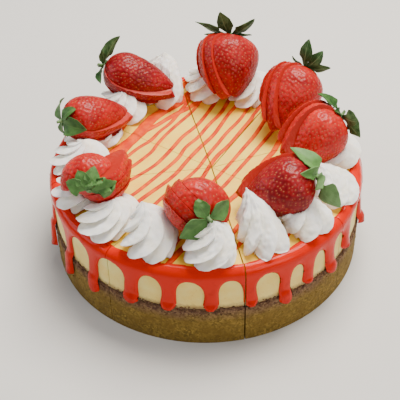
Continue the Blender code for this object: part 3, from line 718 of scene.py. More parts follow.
bpy.ops.mesh.primitive_circle_add(vertices=ROSETTE_POINTS, radius=1, fill_type="NOTHING")
swirl_shape = named("one_rosette")
for vert in swirl_shape.data.vertices:
    across = 1 - GROOVE_DEPTH * (1 - ridge(math.atan2(vert.co.y, vert.co.x)))
    vert.co = vert.co.normalized() * across * ring_width(0)
bpy.ops.object.mode_set(mode="EDIT")
bpy.ops.mesh.select_all(action="SELECT")
for step in range(ROSETTE_LEVELS):
    # The rings crowd towards the point, where the rosette narrows fastest
    level, above = (1 - (1 - ring / ROSETTE_LEVELS) ** LEVEL_CROWDING for ring in (step, step + 1))
    bpy.ops.mesh.extrude_region_move(TRANSFORM_OT_translate={"value": (0, 0, above - level)})
    grow = ring_width(above) / ring_width(level)
    bpy.ops.transform.resize(value=(grow, grow, 1), center_override=(0, 0, above))
bpy.ops.mesh.merge(type="CENTER")
bpy.ops.object.mode_set(mode="OBJECT")
close_base = bmesh.new()
close_base.from_mesh(swirl_shape.data)
bmesh.ops.holes_fill(close_base, edges=close_base.edges, sides=ROSETTE_POINTS)
bmesh.ops.recalc_face_normals(close_base, faces=close_base.faces)
close_base.to_mesh(swirl_shape.data)
close_base.free()


def rosette_centres():
    """Where the rosettes stand: on the ring, in the directions that their shares of each slice give."""
    centres = []
    for number, first in enumerate(CUT_DEGREES):
        last = CUT_DEGREES[(number + 1) % len(CUT_DEGREES)]
        for share in ROSETTE_SHARES:
            turn = math.radians(first + ((last - first) % 360) * share)
            way = Vector((math.cos(turn), math.sin(turn), 0))
            along = way.dot(CUT_CENTRE)
            reach = -along + math.sqrt(along ** 2 - CUT_CENTRE.length_squared + ROSETTE_RING_RADIUS ** 2)
            centres.append(CUT_CENTRE + way * reach)
    return centres


# Whipped cream: fine foam of fat, nearly white and faintly warm. Light spreads inside it, so its grooves
# stay bright, and its surface is satin with tiny bubbles
cream_finish, shader = new_material("whipped_cream", Roughness=0.5, Specular_IOR_Level=0.35, IOR=1.4,
                                    Subsurface_Weight=0.3, Subsurface_Radius=(1.0, 0.85, 0.7),
                                    Subsurface_Scale=1.2 * MM)
place = add_node(cream_finish, "TexCoord").outputs["Object"]
drift = add_node(cream_finish, "TexNoise", {"Scale": 1 / (10 * MM), "Detail": 3}, {"Vector": place})
tone = add_node(cream_finish, "MapRange", {"From Min": 0.4, "From Max": 0.7}, {"Value": drift.outputs[0]})
white = add_node(cream_finish, "Mix", {FIRST: linear("#fbf9f4"), SECOND: linear("#f7f1e2")},
                 {SHARE: tone.outputs[0]}, data_type="RGBA")
foam = add_node(cream_finish, "TexNoise", {"Scale": 1 / (0.7 * MM), "Detail": 2}, {"Vector": place})
bump = add_node(cream_finish, "Bump", {"Strength": 0.12, "Distance": 0.25 * MM}, {"Height": foam.outputs[0]})
feed_shader(cream_finish, shader, white, bump)
swirl_shape.data.materials.append(cream_finish)

centres = rosette_centres()
draw = random.Random(11)
rosettes = []
for number, centre in enumerate(centres):
    height_mm, twist_degrees, lean_x, lean_y = ROSETTES[number]
    phase = draw.uniform(0, math.tau)
    size = ROSETTE_RADIUS * (1 + draw.uniform(-ROSETTE_SPREAD, ROSETTE_SPREAD))
    lean = Vector((lean_x, lean_y, 0)) * MM
    rosette = copied(swirl_shape, f"cream_rosette_{number + 1}")
    neighbours = (centres[number - 1], centres[(number + 1) % len(centres)])
    for vert in rosette.data.vertices:
        turn, level = math.atan2(vert.co.y, vert.co.x), vert.co.z
        # The ridges climb slantwise, and their grooves close towards the point
        valley = 1 - ridge(turn)
        ease = (1 - GROOVE_DEPTH * (1 - GROOVE_CLOSING * level) * valley) / (1 - GROOVE_DEPTH * valley)
        around = turn + phase + math.radians(twist_degrees) * level
        pinch = 1 - PINCHES.get(number + 1, 0) * level ** PINCH_POWER
        reach = math.hypot(vert.co.x, vert.co.y) * size * ease * pinch
        spot = Vector((reach * math.cos(around), reach * math.sin(around), 0)) + lean * level ** LEAN_POWER
        # Where two rosettes meet, the cream is pressed flat against its neighbour
        for other in neighbours:
            away = (other - centre).normalized()
            room = (other - centre).length / 2 - GAP / 2
            out, free = spot.dot(away), room * CREAM_SQUEEZE
            if out > free:
                spot += away * (free + (room - free) * (1 - math.exp((free - out) / (room - free))) - out)
        vert.co = spot + centre + Vector((0, 0, CAKE_HEIGHT + GAP + level * height_mm * MM))
        if math.hypot(vert.co.x, vert.co.y) > GLAZE_CLEAR_RADIUS:
            vert.co.z = max(vert.co.z, CAKE_HEIGHT + GLAZE_THICKNESS + 2 * GAP)
    rosettes.append(rosette)
    ruffle = TORN_DEPTH if number + 1 in TORN_ROSETTES else RUFFLE_DEPTH
    roughen(rosette, f"soft cream {number}", "CLOUDS", SOFT_SIZE, SOFT_DEPTH)
    roughen(rosette, f"torn ruffles {number}", "CLOUDS", RUFFLE_SIZE, ruffle)
    apply_modifiers(rosette)
    finish_piece(rosette, f"rosette_{number + 1}", 75)
bpy.data.objects.remove(swirl_shape)

# ---- The strawberries -----------------------------------------------------------------------------------
# Fresh whole strawberries, each sliced from the tip nearly to its cap and spread like a hand of cards, then
# pressed into the cream. The skin is glossy with a seed in each of its dimples, and the cut flesh is paler.

# Each has its calyx and tip as (x, y, height over the filling) in mm, the way the uppermost slice faces, the
# width in mm, the swing of each slice in degrees from the uppermost down, how light the red of its skin is
# and how light its leaves are painted, from 0 to 1, where the leaves at the back are darker as painted shade,
# how far its leaves roll about their own length, in degrees, the length and width of its sepals in mm, and
# the sepals as (angle round the stem, lift off the shoulder, size as a share)
STRAWBERRIES = (
    dict(calyx=(-76, 82, 32), tip=(-21, 69, 13), cap=(0.0, -0.2, 1.0), width=34, fan=(5, -3, -9),
         tone_and_shade=(0.1, 0.2), roll=45, leaf=(25, 9),
         sepals=((0, -20, 0.7), (45, 5, 0.5), (90, 30, 0.6), (135, -12, 1.05), (200, -40, 0.4))),
    dict(calyx=(-103, 20, 27), tip=(-55, 47, 12), cap=(-0.1, -0.3, 1.0), width=34, fan=(3, -4, -10),
         tone_and_shade=(0.45, 0.4), roll=10, leaf=(21, 12),
         sepals=((20, -60, 1.05), (85, -60, 0.7), (165, -40, 0.95), (290, -50, 0.6))),
    dict(calyx=(-79, -57, 27), tip=(-82, -12, 14), cap=(-0.35, -0.3, 1.0), width=40, fan=(6, -44, -52, -60),
         tone_and_shade=(0.85, 0.65), roll=0, leaf=(18, 11),
         sepals=((50, -50, 0.85), (95, -50, 0.85), (140, -40, 0.95), (355, 10, 1.1))),
    dict(calyx=(0, -90, 29), tip=(-17, -45, 16), cap=(0.8, -0.2, 0.6), width=43, fan=(-6, 4, 14, 24),
         tone_and_shade=(0.8, 0.6), roll=0, leaf=(19, 12),
         sepals=((72, -38, 1.0), (170, -40, 0.8), (262, -15, 1.15), (350, -40, 0.5))),
    dict(calyx=(73, -55, 31), tip=(21, -54, 9), cap=(0.25, -0.65, 0.9), width=41, fan=(4, -8, -16, -24),
         tone_and_shade=(0.1, 0.95), roll=50, leaf=(22, 12),
         sepals=((5, -45, 1.15), (80, -40, 0.85), (125, 15, 0.8), (168, 38, 1.3), (290, -20, 0.5))),
    dict(calyx=(97, 9, 33), tip=(56, -13, 12), cap=(0.7, -0.45, 0.6), width=39, fan=(10, -8, -21, -34),
         tone_and_shade=(0.9, 0.25), roll=45, leaf=(20, 10),
         sepals=((40, -50, 0.6), (98, 8, 1.05), (138, 0, 1.1), (230, -40, 0.5), (350, -15, 1.15))),
    dict(calyx=(77, 67, 35), tip=(50, 21, 11), cap=(0.75, -0.3, 0.6), width=42, fan=(10, -2, -12, -22),
         tone_and_shade=(0.55, 0.1), roll=10, leaf=(22, 9),
         sepals=((35, 55, 1.1), (75, 50, 1.0), (112, 20, 0.85), (160, 0, 0.5), (320, 30, 0.6))),
    dict(calyx=(22, 104, 42), tip=(17, 60, 12), cap=(0.7, -0.35, 0.6), width=47, fan=(6, -4, -13, -22),
         tone_and_shade=(0.35, 0.1), roll=0, leaf=(27, 10),
         sepals=((25, 32, 1.05), (92, 25, 0.97), (140, 10, 0.55), (300, 5, 0.7), (330, 25, 1.05))),
)
BERRY_THICKNESS = 0.94
BERRY_SHOULDER = 0.3
TOP_SLICE_SHARE = 0.4
HINGE_SHARE = 0.14
SKIN_COLUMNS = 160
SKIN_ROWS = 78
SEED_SPACING = 3.1 * MM
# The turn from one seed to the next in the spiral, the share of a square that each takes up, where along the
# berry the spiral begins and ends, and how far a seed strays from it
SEED_TURN = math.tau * 0.381966
SEED_PACKING = 0.87
FIRST_SEED, LAST_SEED = 0.03, 0.985
SEED_STRAY_SHARE = 0.014
SEED_STRAY_MM = 1.1
# How far a seed stands over its dimple's floor, and how near to a cut there are none
SEED_RISE = 0.2 * MM
SEED_MARGIN = 0.9 * MM
SEED_SIZE = Vector((0.34, 0.58, 0.24)) * MM
DIMPLE_RADIUS = 1.0 * MM
DIMPLE_DEPTH = 0.65 * MM
# How much paler red is painted into the dimples, as painted highlight
DIMPLE_HIGHLIGHT = 0.3
SLICE_GAP = 0.12 * MM
LUMP_DEPTH = 0.035
BERRY_MIDDLE = 0.42
# How far the cream keeps off a berry, and how thick a fold of it can lie over the berry's underside
CREAM_CLEARANCE = 0.4 * MM
CREAM_FOLD = 8 * MM


def berry_radius(share):
    """The berry's half width, as a share of its widest, at a share of its length from calyx to tip."""
    if share < BERRY_SHOULDER:
        return math.sqrt(max(0, 1 - (1 - share / BERRY_SHOULDER) ** 2))
    return math.cos(math.pi / 2 * (share - BERRY_SHOULDER) / (1 - BERRY_SHOULDER)) ** 0.8


def berry_place(berry):
    """The matrix that puts a strawberry, modelled along +Y, from its calyx point to its tip."""
    calyx = Vector(berry["calyx"]) * MM + Vector((0, 0, CAKE_HEIGHT))
    tip = Vector(berry["tip"]) * MM + Vector((0, 0, CAKE_HEIGHT))
    along = (tip - calyx).normalized()
    cap = Vector(berry["cap"])
    cap = (cap - along * cap.dot(along)).normalized()
    side = along.cross(cap)
    turn = Matrix((side, along, cap)).transposed().to_4x4()
    return Matrix.Translation(calyx) @ turn, (tip - calyx).length


def skin_point(share, around, length, width, seed):
    """A point of the berry's skin, which is a little lumpy, at a share of its length and a turn round it."""
    place = Vector((math.cos(around), math.sin(around), share * 2.2)) * 1.1 + Vector((seed, 0, 0))
    reach = berry_radius(share) * width / 2 * (1 + LUMP_DEPTH * noise.noise(place))
    return Vector((math.cos(around) * reach, share * length, math.sin(around) * reach * BERRY_THICKNESS))


# Strawberry skin: thin, waxy and wet, saturated red with darker patches
skin_finish, shader = new_material("strawberry_skin", Roughness=0.36, IOR=1.4, Specular_IOR_Level=0.25,
                                   Coat_Weight=0.09, Coat_Roughness=0.16, Subsurface_Weight=0.15,
                                   Subsurface_Radius=(1.0, 0.22, 0.12), Subsurface_Scale=2.5 * MM)
place = add_node(skin_finish, "TexCoord").outputs["Object"]
patch = add_node(skin_finish, "TexNoise", {"Scale": 1 / (9 * MM), "Detail": 4, "Roughness": 0.6},
                 {"Vector": place})
tone = add_node(skin_finish, "MapRange", {"From Min": 0.36, "From Max": 0.66}, {"Value": patch.outputs[0]})
dark_red = add_node(skin_finish, "Mix", {FIRST: linear("#640410"), SECOND: linear("#920c18")},
                    {SHARE: tone.outputs[0]}, data_type="RGBA")
light_red = add_node(skin_finish, "Mix", {FIRST: linear("#b01214"), SECOND: linear("#d4281c")},
                     {SHARE: tone.outputs[0]}, data_type="RGBA")
tone_and_shade = add_node(skin_finish, "Attribute", attribute_name="tone_and_shade")
ripe = add_node(skin_finish, "Mix",
                links={SHARE: tone_and_shade.outputs["Fac"], FIRST: dark_red.outputs[MIXED],
                       SECOND: light_red.outputs[MIXED]}, data_type="RGBA")
# The dimples are painted a paler, pinker red: a painted highlight for the wet shine round each seed
pit = add_node(skin_finish, "Attribute", attribute_name="pit")
painted_pit_light = add_node(skin_finish, "Mix", {SECOND: linear("#e0604a")},
                  {SHARE: pit.outputs["Fac"], FIRST: ripe.outputs[MIXED]}, data_type="RGBA")
fine = add_node(skin_finish, "TexNoise", {"Scale": 1 / (0.8 * MM), "Detail": 2}, {"Vector": place})
bump = add_node(skin_finish, "Bump", {"Strength": 0.15, "Distance": 0.25 * MM}, {"Height": fine.outputs[0]})
feed_shader(skin_finish, shader, painted_pit_light, bump)

# Cut strawberry flesh: wet, softer red than the skin, with pale strands that run from the middle outwards
flesh_finish, shader = new_material("cut_strawberry_flesh", Roughness=0.4, IOR=1.4, Specular_IOR_Level=0.3,
                                    Subsurface_Weight=0.35, Subsurface_Radius=(1.0, 0.35, 0.2),
                                    Subsurface_Scale=3 * MM)
cut_place = add_node(flesh_finish, "UVMap", uv_map="cut").outputs[0]
split = add_node(flesh_finish, "SeparateXYZ", links={"Vector": cut_place})
from_middle = add_node(flesh_finish, "Math", links={0: split.outputs["X"]}, operation="ABSOLUTE")
strand = add_node(flesh_finish, "TexNoise", {"Scale": 26, "Detail": 2, "Distortion": 0.6},
                  {"Vector": add_node(flesh_finish, "Mapping", {"Scale": (0.35, 1.0, 1.0)},
                                      {"Vector": cut_place}).outputs[0]})
pale = add_node(flesh_finish, "MapRange", {"From Min": 0.02, "From Max": 0.34, "To Min": 0.85, "To Max": 0.0},
                {"Value": from_middle.outputs[0]})
streak = add_node(flesh_finish, "MapRange",
                  {"From Min": 0.45, "From Max": 0.62, "To Min": 0.0, "To Max": 0.5},
                  {"Value": strand.outputs[0]})
light = add_node(flesh_finish, "Math", links={0: pale.outputs[0], 1: streak.outputs[0]}, operation="MULTIPLY")
flesh = add_node(flesh_finish, "Mix", {FIRST: linear("#b02416"), SECOND: linear("#c85a46")},
                 {SHARE: light.outputs[0]}, data_type="RGBA")
grain = add_node(flesh_finish, "Bump", {"Strength": 0.25, "Distance": 0.3 * MM},
                 {"Height": strand.outputs[0]})
feed_shader(flesh_finish, shader, flesh, grain)

# Strawberry seeds: dry, hard and straw yellow, some of them still red
seed_finish, shader = new_material("strawberry_seed", Roughness=0.4, IOR=1.45, Specular_IOR_Level=0.4)
place = add_node(seed_finish, "TexCoord").outputs["Object"]
kinds = add_node(seed_finish, "TexNoise", {"Scale": 1 / (3 * MM)}, {"Vector": place})
tone = add_node(seed_finish, "MapRange", {"From Min": 0.4, "From Max": 0.6}, {"Value": kinds.outputs[0]})
straw = add_node(seed_finish, "Mix", {FIRST: linear("#b8703e"), SECOND: linear("#8c2c1c")},
                 {SHARE: tone.outputs[0]}, data_type="RGBA")
feed_shader(seed_finish, shader, straw)

bpy.ops.mesh.primitive_uv_sphere_add(segments=6, ring_count=5, radius=1)
seed_shape = named("one_seed")
for vert in seed_shape.data.vertices:
    # A drop, pointed towards the berry's cap
    vert.co = Vector((vert.co.x * SEED_SIZE.x * (1 - 0.35 * vert.co.y), vert.co.y * SEED_SIZE.y,
                      vert.co.z * SEED_SIZE.z))
seed_corners, seed_sides = taken_shape(seed_shape)

berry_bodies = []
for number, berry in enumerate(STRAWBERRIES):
    place, length = berry_place(berry)
    width = berry["width"] * MM
    thick = width * BERRY_THICKNESS
    bpy.ops.mesh.primitive_uv_sphere_add(segments=SKIN_COLUMNS, ring_count=SKIN_ROWS, radius=1)
    whole_berry = named("whole_berry")
    # Seeds stand in crossing spirals from the shoulder to the tip
    seeds, turn, share = [], 0.0, FIRST_SEED
    draw = random.Random(31 + number)
    while share < LAST_SEED:
        rim = math.tau * max(berry_radius(share), 0.05) * width / 2
        share += SEED_SPACING ** 2 * SEED_PACKING / rim / length
        turn += SEED_TURN
        if share < LAST_SEED:
            stray_share = share + draw.uniform(-SEED_STRAY_SHARE, SEED_STRAY_SHARE)
            stray = draw.uniform(-SEED_STRAY_MM, SEED_STRAY_MM) * MM / max(rim / math.tau, MM)
            seeds.append(skin_point(stray_share, turn + stray, length, width, number))
    tree = KDTree(len(seeds))
    for index, spot in enumerate(seeds):
        tree.insert(spot, index)
    tree.balance()
    dimple_highlight = []
    middle = Vector((0, BERRY_MIDDLE * length, 0))
    for vert in whole_berry.data.vertices:
        share = math.acos(max(-1, min(1, vert.co.z))) / math.pi
        spot = skin_point(share, math.atan2(vert.co.y, vert.co.x), length, width, number)
        near = tree.find(spot)[2]
        pit = math.exp(-(near / DIMPLE_RADIUS) ** 2)
        spot += (middle - spot).normalized() * DIMPLE_DEPTH * pit
        vert.co = spot
        # The painted highlight in each dimple, which the skin's colour reads
        dimple_highlight.append(pit ** 2 * DIMPLE_HIGHLIGHT)
    point_values(whole_berry.data, "pit", dimple_highlight)
    point_values(whole_berry.data, "tone_and_shade", np.full(len(dimple_highlight), berry["tone_and_shade"][0]))
    for finish in (skin_finish, flesh_finish, seed_finish):
        whole_berry.data.materials.append(finish)
    count = len(berry["fan"])
    thin = thick * (1 - TOP_SLICE_SHARE) / (count - 1)
    hinge = Vector((0, HINGE_SHARE * length, 0))
    slices = []
    for layer in range(count):
        top = thick / 2 - (thick * TOP_SLICE_SHARE + (layer - 1) * thin if layer else -1)
        bottom = (thick / 2 - thick * TOP_SLICE_SHARE - layer * thin) if layer < count - 1 else -thick
        part = copied(whole_berry, f"berry_{number + 1}_slice_{layer + 1}")
        select_only(part)
        bpy.ops.object.mode_set(mode="EDIT")
        for level, facing, real in ((top - SLICE_GAP, 1, layer > 0),
                                    (bottom + SLICE_GAP, -1, layer < count - 1)):
            if real:
                bpy.ops.mesh.select_all(action="SELECT")
                bpy.ops.mesh.bisect(plane_co=(0, 0, level), plane_no=(0, 0, facing), use_fill=True,
                                    clear_outer=True)
        bpy.ops.object.mode_set(mode="OBJECT")
        # The cut faces show the flesh, whose pattern runs from the middle of the berry outwards
        mesh = part.data
        facing, centre = np.empty(len(mesh.polygons) * 3), np.empty(len(mesh.polygons) * 3)
        mesh.polygons.foreach_get("normal", facing)
        mesh.polygons.foreach_get("center", centre)
        level = centre.reshape(-1, 3)[:, 2]
        cut = (np.abs(facing.reshape(-1, 3)[:, 2]) > 0.999) & (np.minimum(
            np.abs(level - top + SLICE_GAP), np.abs(level - bottom - SLICE_GAP)) < 0.01 * MM)
        mesh.polygons.foreach_set("material_index", cut.astype(np.int32))
        corner = np.empty(len(mesh.loops), np.int32)
        mesh.loops.foreach_get("vertex_index", corner)
        flat = vertex_places(mesh)[corner][:, :2] / (width, length)
        mesh.uv_layers.new(name="cut").data.foreach_set("uv", flat.astype(np.float32).ravel())
        swing = math.radians(berry["fan"][layer])
        spread = Matrix.Translation(hinge) @ Matrix.Rotation(swing, 4, "Z") @ Matrix.Translation(-hinge)
        # The seeds that sit in this slice's skin
        points, faces = [], []
        for spot in seeds:
            if bottom + SEED_MARGIN < spot.z < top - SEED_MARGIN:
                out = (spot - middle).normalized()
                tail = (Vector((0, 1, 0)) - out * out.y).normalized()
                turned = Matrix((tail.cross(out), tail, out)).transposed()
                sunk = spot - out * (DIMPLE_DEPTH - SEED_RISE)
                first = len(points)
                points += [sunk + turned @ corner for corner in seed_corners]
                faces += [tuple(first + at for at in side) for side in seed_sides]
        loose_seeds = scattered("seeds", points, faces)
        loose_seeds.data.materials.append(seed_finish)
        for thing in (part, loose_seeds):
            thing.data.transform(place @ spread)
            slices.append(thing)
    bpy.data.objects.remove(whole_berry)
    body = joined(slices, f"fanned_strawberry_{number + 1}")
    finish_piece(body, f"strawberry_{number + 1}", 35)
    berry_bodies.append(body)

    # The berry is pressed into the cream, which gives way under it
    under = BVHTree.FromObject(body, bpy.context.evaluated_depsgraph_get())
    co = vertex_places(body.data)
    low, high = co.min(axis=0) - 2 * MM, co.max(axis=0) + 2 * MM
    up = Vector((0, 0, 1))
    for rosette in rosettes:
        co = vertex_places(rosette.data)
        for index in np.flatnonzero(np.all((co > low) & (co < high), axis=1)):
            vert = rosette.data.vertices[index]
            underside = under.ray_cast(Vector((vert.co.x, vert.co.y, CAKE_HEIGHT - MM)), up)[0]
            if underside is not None and vert.co.z > underside.z - CREAM_CLEARANCE:
                over = under.ray_cast(vert.co, up)[0]
                if over is not None or vert.co.z < underside.z + CREAM_FOLD:
                    vert.co.z = max(CAKE_HEIGHT + GAP, underside.z - CREAM_CLEARANCE)

# ---- The leaves -----------------------------------------------------------------------------------------
# The green caps left on the strawberries: a stub of stem and four or five pointed sepals, thin and a little
# curled, that lie on the berry's shoulder or lift off it.
SEPAL_THICKNESS = 0.5 * MM
SEPAL_CLEARANCE = 0.5 * MM
SEPAL_ROWS = 18
SEPAL_COLUMNS = 8
SEPAL_BROADER = 1.2
# The sepal's half width along it: shares of its length, and of its broadest
SEPAL_OUTLINE = ((0, 0.12, 0.36, 0.62, 0.85, 0.95, 1), (0.3, 0.55, 1.0, 0.86, 0.42, 0.17, 0.0))
# Near the stem a sepal leaves room for its neighbours
CROWDED_SHARE = 0.3
SEPAL_LEAST = 0.8 * MM
KEEL_FOLD = 0.28
MARGIN_WAVE = 0.35 * MM
RESTING_WAVE = 0.25 * MM
STEM_CORNERS = 14
STEM_FOOT_RADIUS, STEM_RADIUS, STEM_FOOT = 2.6 * MM, 1.3 * MM, 1.6 * MM
STEM_MOVES_MM = ((0.2, 0, 1.3), (0.35, 0.1, 1.2), (0.5, 0.15, 1.0))
STEM_TAPER = 0.94

# Strawberry leaf: thin and matt with a soft shine, deep green above with paler veins, and lighter below
leaf_finish, shader = new_material("strawberry_sepal", Roughness=0.5, IOR=1.45, Specular_IOR_Level=0.35,
                                   Subsurface_Weight=0.1, Subsurface_Radius=(0.3, 1.0, 0.15),
                                   Subsurface_Scale=1 * MM)
under_finish, under_shader = new_material("strawberry_sepal_underside", Roughness=0.6, IOR=1.45,
                                          Specular_IOR_Level=0.3)
for finish, target, dark, light, vein_colour in (
        (leaf_finish, shader, "#183e0e", "#5f8c48", "#5a7c42"),
        (under_finish, under_shader, "#2a4c22", "#7ba266", "#86a870")):
    leaf_place = add_node(finish, "UVMap", uv_map="leaf").outputs[0]
    place = add_node(finish, "TexCoord").outputs["Object"]
    blotch = add_node(finish, "TexNoise", {"Scale": 1 / (5 * MM), "Detail": 3}, {"Vector": place})
    patchy = add_node(finish, "MapRange",
                      {"From Min": 0.35, "From Max": 0.68, "To Min": -0.25, "To Max": 0.25},
                      {"Value": blotch.outputs[0]})
    # Each berry's value lightens or darkens the green: painted shade, darkest on the leaves at the back
    tone_and_shade = add_node(finish, "Attribute", attribute_name="tone_and_shade")
    tone = add_node(finish, "Math", links={0: tone_and_shade.outputs["Fac"], 1: patchy.outputs[0]}, operation="ADD",
                    use_clamp=True)
    green = add_node(finish, "Mix", {FIRST: linear(dark), SECOND: linear(light)},
                     {SHARE: tone.outputs[0]}, data_type="RGBA")
    split = add_node(finish, "SeparateXYZ", links={"Vector": leaf_place})
    across = add_node(finish, "Math", links={0: split.outputs["X"]}, operation="ABSOLUTE")
    # Side veins leave the keel at a slant: the pattern runs along the leaf less its distance from the keel
    slant = add_node(finish, "Math", {1: 0.5}, {0: across.outputs[0]}, operation="MULTIPLY")
    run = add_node(finish, "Math", links={0: split.outputs["Y"], 1: slant.outputs[0]}, operation="SUBTRACT")
    comb = add_node(finish, "Math", {1: 7.0}, {0: run.outputs[0]}, operation="MULTIPLY")
    beat = add_node(finish, "Math", {1: 1.0}, {0: comb.outputs[0]}, operation="PINGPONG")
    side_vein = add_node(finish, "MapRange", {"From Min": 0.0, "From Max": 0.16, "To Min": 0.28, "To Max": 0},
                         {"Value": beat.outputs[0]})
    keel = add_node(finish, "MapRange", {"From Min": 0.02, "From Max": 0.09, "To Min": 0.6, "To Max": 0},
                    {"Value": across.outputs[0]})
    veins = add_node(finish, "Math", links={0: side_vein.outputs[0], 1: keel.outputs[0]}, operation="MAXIMUM")
    veined = add_node(finish, "Mix", {SECOND: linear(vein_colour)},
                      {SHARE: veins.outputs[0], FIRST: green.outputs[MIXED]}, data_type="RGBA")
    bump = add_node(finish, "Bump", {"Strength": 0.35, "Distance": 0.25 * MM},
                    {"Height": veins.outputs[0]}, invert=True)
    feed_shader(finish, target, veined, bump)

draw = random.Random(4)
for number, (berry, body) in enumerate(zip(STRAWBERRIES, berry_bodies)):
    place, length = berry_place(berry)
    back = place.inverted()
    probe = bmesh.new()
    probe.from_mesh(body.data)
    probe.transform(back)
    tree = BVHTree.FromBMesh(probe)
    probe.free()
    leaves = []
    turns = sorted(berry["sepals"])
    for index, (degrees, lift, size) in enumerate(turns):
        direction = math.radians(degrees)
        radial = Vector((math.cos(direction), 0, math.sin(direction)))
        sideways = Vector((-math.sin(direction), 0, math.cos(direction)))
        following, before = turns[(index + 1) % len(turns)][0], turns[index - 1][0]
        room = math.radians(min((following - degrees) % 360, (degrees - before) % 360))
        long, broad = (value * size * MM for value in berry["leaf"])
        long *= draw.uniform(0.92, 1.06)
        curl, wave, twist = draw.uniform(-0.6, 0.9), draw.uniform(0, math.tau), draw.uniform(-0.25, 0.25)
        bpy.ops.mesh.primitive_grid_add(x_subdivisions=SEPAL_COLUMNS, y_subdivisions=SEPAL_ROWS, size=2)
        leaf = named("sepal")
        point = radial * 1.6 * MM + Vector((0, -1.0 * MM, 0))
        spine = [point.copy()]
        for step in range(SEPAL_ROWS):
            share = (step + 0.5) / SEPAL_ROWS
            bend = math.radians(lift) * 1.2 * share + curl * max(0, share - 0.6)
            way = radial * math.cos(bend) + Vector((0, -1, 0)) * math.sin(bend)
            point = point + way * (long / SEPAL_ROWS)
            spine.append(point.copy())
        leaf_layer = leaf.data.uv_layers.new(name="leaf")
        flat = [vert.co.copy() for vert in leaf.data.vertices]
        for face in leaf.data.polygons:
            for loop in face.loop_indices:
                corner = flat[leaf.data.loops[loop].vertex_index]
                leaf_layer.data[loop].uv = (corner.x, corner.y / 2 + 0.5)
        for vert in leaf.data.vertices:
            column, along = vert.co.x, vert.co.y / 2 + 0.5
            row = spine[round(along * SEPAL_ROWS)]
            wide = float(np.interp(along, *SEPAL_OUTLINE))
            half = SEPAL_BROADER * broad * wide / 2
            free = row.dot(radial) * math.tan(min(room, 2.4) / 2) * 1.02
            if along < CROWDED_SHARE:
                half = min(half, max(free, SEPAL_LEAST))
            tilt = twist * along + math.radians(berry["roll"]) * min(1, 2.5 * along)
            spot = row + sideways * column * half * math.cos(tilt)
            # The keel is folded down, and the margin waves
            spot.y -= abs(column) ** 1.3 * half * KEEL_FOLD
            spot.y -= math.sin(along * 9 + wave + column) * MARGIN_WAVE * abs(column)
            spot.y += column * half * math.sin(tilt)
            hit = tree.ray_cast(Vector((spot.x, -60 * MM, spot.z)), Vector((0, 1, 0)))[0]
            if hit is not None:
                rest = SEPAL_THICKNESS + SEPAL_CLEARANCE + RESTING_WAVE * (1 + math.sin(along * 7 + wave))
                spot.y = min(spot.y, hit.y - rest)
            vert.co = place @ spot
        leaves.append(leaf)
    cap = joined(leaves, f"sepals_{number + 1}")
    outward = place.to_3x3() @ Vector((0, -1, 0))
    if sum(face.normal.dot(outward) * face.area for face in cap.data.polygons) < 0:
        cap.data.flip_normals()
    # Painted shade: the leaves of the berries at the back get a low value, and so a darker green
    point_values(cap.data, "tone_and_shade", np.full(len(cap.data.vertices), berry["tone_and_shade"][1]))
    cap.data.materials.append(leaf_finish)
    cap.data.materials.append(under_finish)
    thicken = cap.modifiers.new("leaf thickness", "SOLIDIFY")
    thicken.thickness = SEPAL_THICKNESS
    thicken.offset = 1
    thicken.material_offset = 1
    apply_modifiers(cap)
    # The stub of stem stands in the middle, a little bent and cut off square
    bpy.ops.mesh.primitive_cone_add(vertices=STEM_CORNERS, radius1=STEM_FOOT_RADIUS, radius2=STEM_RADIUS,
                                    depth=STEM_FOOT, end_fill_type="NGON")
    stem = named("stem")
    bpy.ops.object.mode_set(mode="EDIT")
    bpy.ops.mesh.select_all(action="DESELECT")
    tip_mesh = bmesh.from_edit_mesh(stem.data)
    for face in tip_mesh.faces:
        face.select_set(face.normal.z > 0.9)
    bmesh.update_edit_mesh(stem.data)
    for move in STEM_MOVES_MM:
        bpy.ops.mesh.extrude_region_move(TRANSFORM_OT_translate={"value": [value * MM for value in move]})
        bpy.ops.transform.resize(value=(STEM_TAPER, STEM_TAPER, STEM_TAPER))
    bpy.ops.mesh.inset(thickness=0.25 * MM)
    bpy.ops.mesh.extrude_region_move(TRANSFORM_OT_translate={"value": (0, 0, -0.3 * MM)})
    bpy.ops.object.mode_set(mode="OBJECT")
    stem.data.materials.append(under_finish)
    for vert in stem.data.vertices:
        vert.co = place @ (Matrix.Rotation(math.radians(90), 3, "X") @ vert.co + Vector((0, -1.2 * MM, 0)))
    cap = joined([cap, stem], cap.name)
    finish_piece(cap, f"calyx_{number + 1}", 50)

# ---- Floor, light and camera ----------------------------------------------------------------------------
# The floor lies under the part, out to where the picture ends. One soft lamp stands above and one at either
# side, and the camera looks down from the front. Sizes and places here are in metres.
FLOOR_SIZE = 6
LAMPS_AIM = Vector((0, 0, 0.05))
ROOM_LIGHT = 0.34
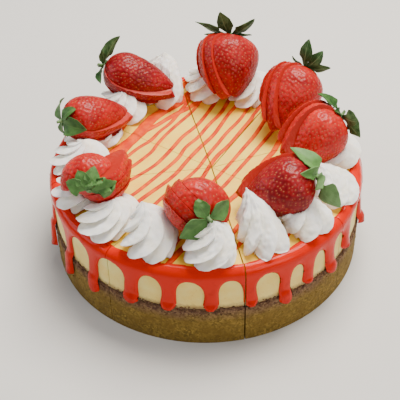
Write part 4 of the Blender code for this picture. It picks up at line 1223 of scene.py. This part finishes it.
# Each lamp: its place, the length of its side, its watts and its colour
LAMPS = (
    ("softbox_above", (0.25, 0.35, 1.1), 0.7, 31.0, "#fff8ee"),
    ("softbox_right", (0.7, -0.8, 0.75), 0.6, 5.0, "#fdf8f2"),
    ("softbox_left", (-1.0, 0.1, 0.6), 0.6, 4.0, "#f4f7ff"),
)
CAMERA_ELEVATION = math.radians(41.69)
CAMERA_ROLL = math.radians(-1.4)
CAMERA_SPOT = (-0.00464, -0.56531, 0.53462)
FOCAL_MM = 90
SENSOR_MM = 36

bpy.ops.mesh.primitive_plane_add(size=FLOOR_SIZE, location=(0, 0, 0))
floor = named("pale_floor")
floor_finish, shader = new_material("matt_studio_paper", Roughness=0.9, Specular_IOR_Level=0.2)
shader.inputs["Base Color"].default_value = linear("#d9d7d2")
floor.data.materials.append(floor_finish)

for name, spot, size, power, colour in LAMPS:
    lamp = bpy.data.lights.new(name, "AREA")
    lamp.size = size
    lamp.energy = power
    lamp.color = linear(colour)[:3]
    holder = bpy.data.objects.new(name, lamp)
    bpy.context.scene.collection.objects.link(holder)
    aim = (Vector(spot) - LAMPS_AIM).to_track_quat("Z", "Y").to_matrix().to_4x4()
    holder.matrix_world = Matrix.Translation(spot) @ aim
world = bpy.data.worlds.new("soft_room")
world.use_nodes = True
room = world.node_tree.nodes["Background"]
room.inputs["Color"].default_value = linear("#eceef2")
room.inputs["Strength"].default_value = ROOM_LIGHT
bpy.context.scene.world = world

lens = bpy.data.cameras.new("camera")
lens.lens = FOCAL_MM
lens.sensor_width = SENSOR_MM
camera = bpy.data.objects.new("camera", lens)
bpy.context.scene.collection.objects.link(camera)
back = Vector((0, -math.cos(CAMERA_ELEVATION), math.sin(CAMERA_ELEVATION)))
right = Vector((0, 0, 1)).cross(back).normalized()
up = back.cross(right)
rolled_right = right * math.cos(CAMERA_ROLL) + up * math.sin(CAMERA_ROLL)
rolled_up = up * math.cos(CAMERA_ROLL) - right * math.sin(CAMERA_ROLL)
aim = Matrix((rolled_right, rolled_up, back)).transposed().to_4x4()
camera.matrix_world = Matrix.Translation(CAMERA_SPOT) @ aim
bpy.context.scene.camera = camera
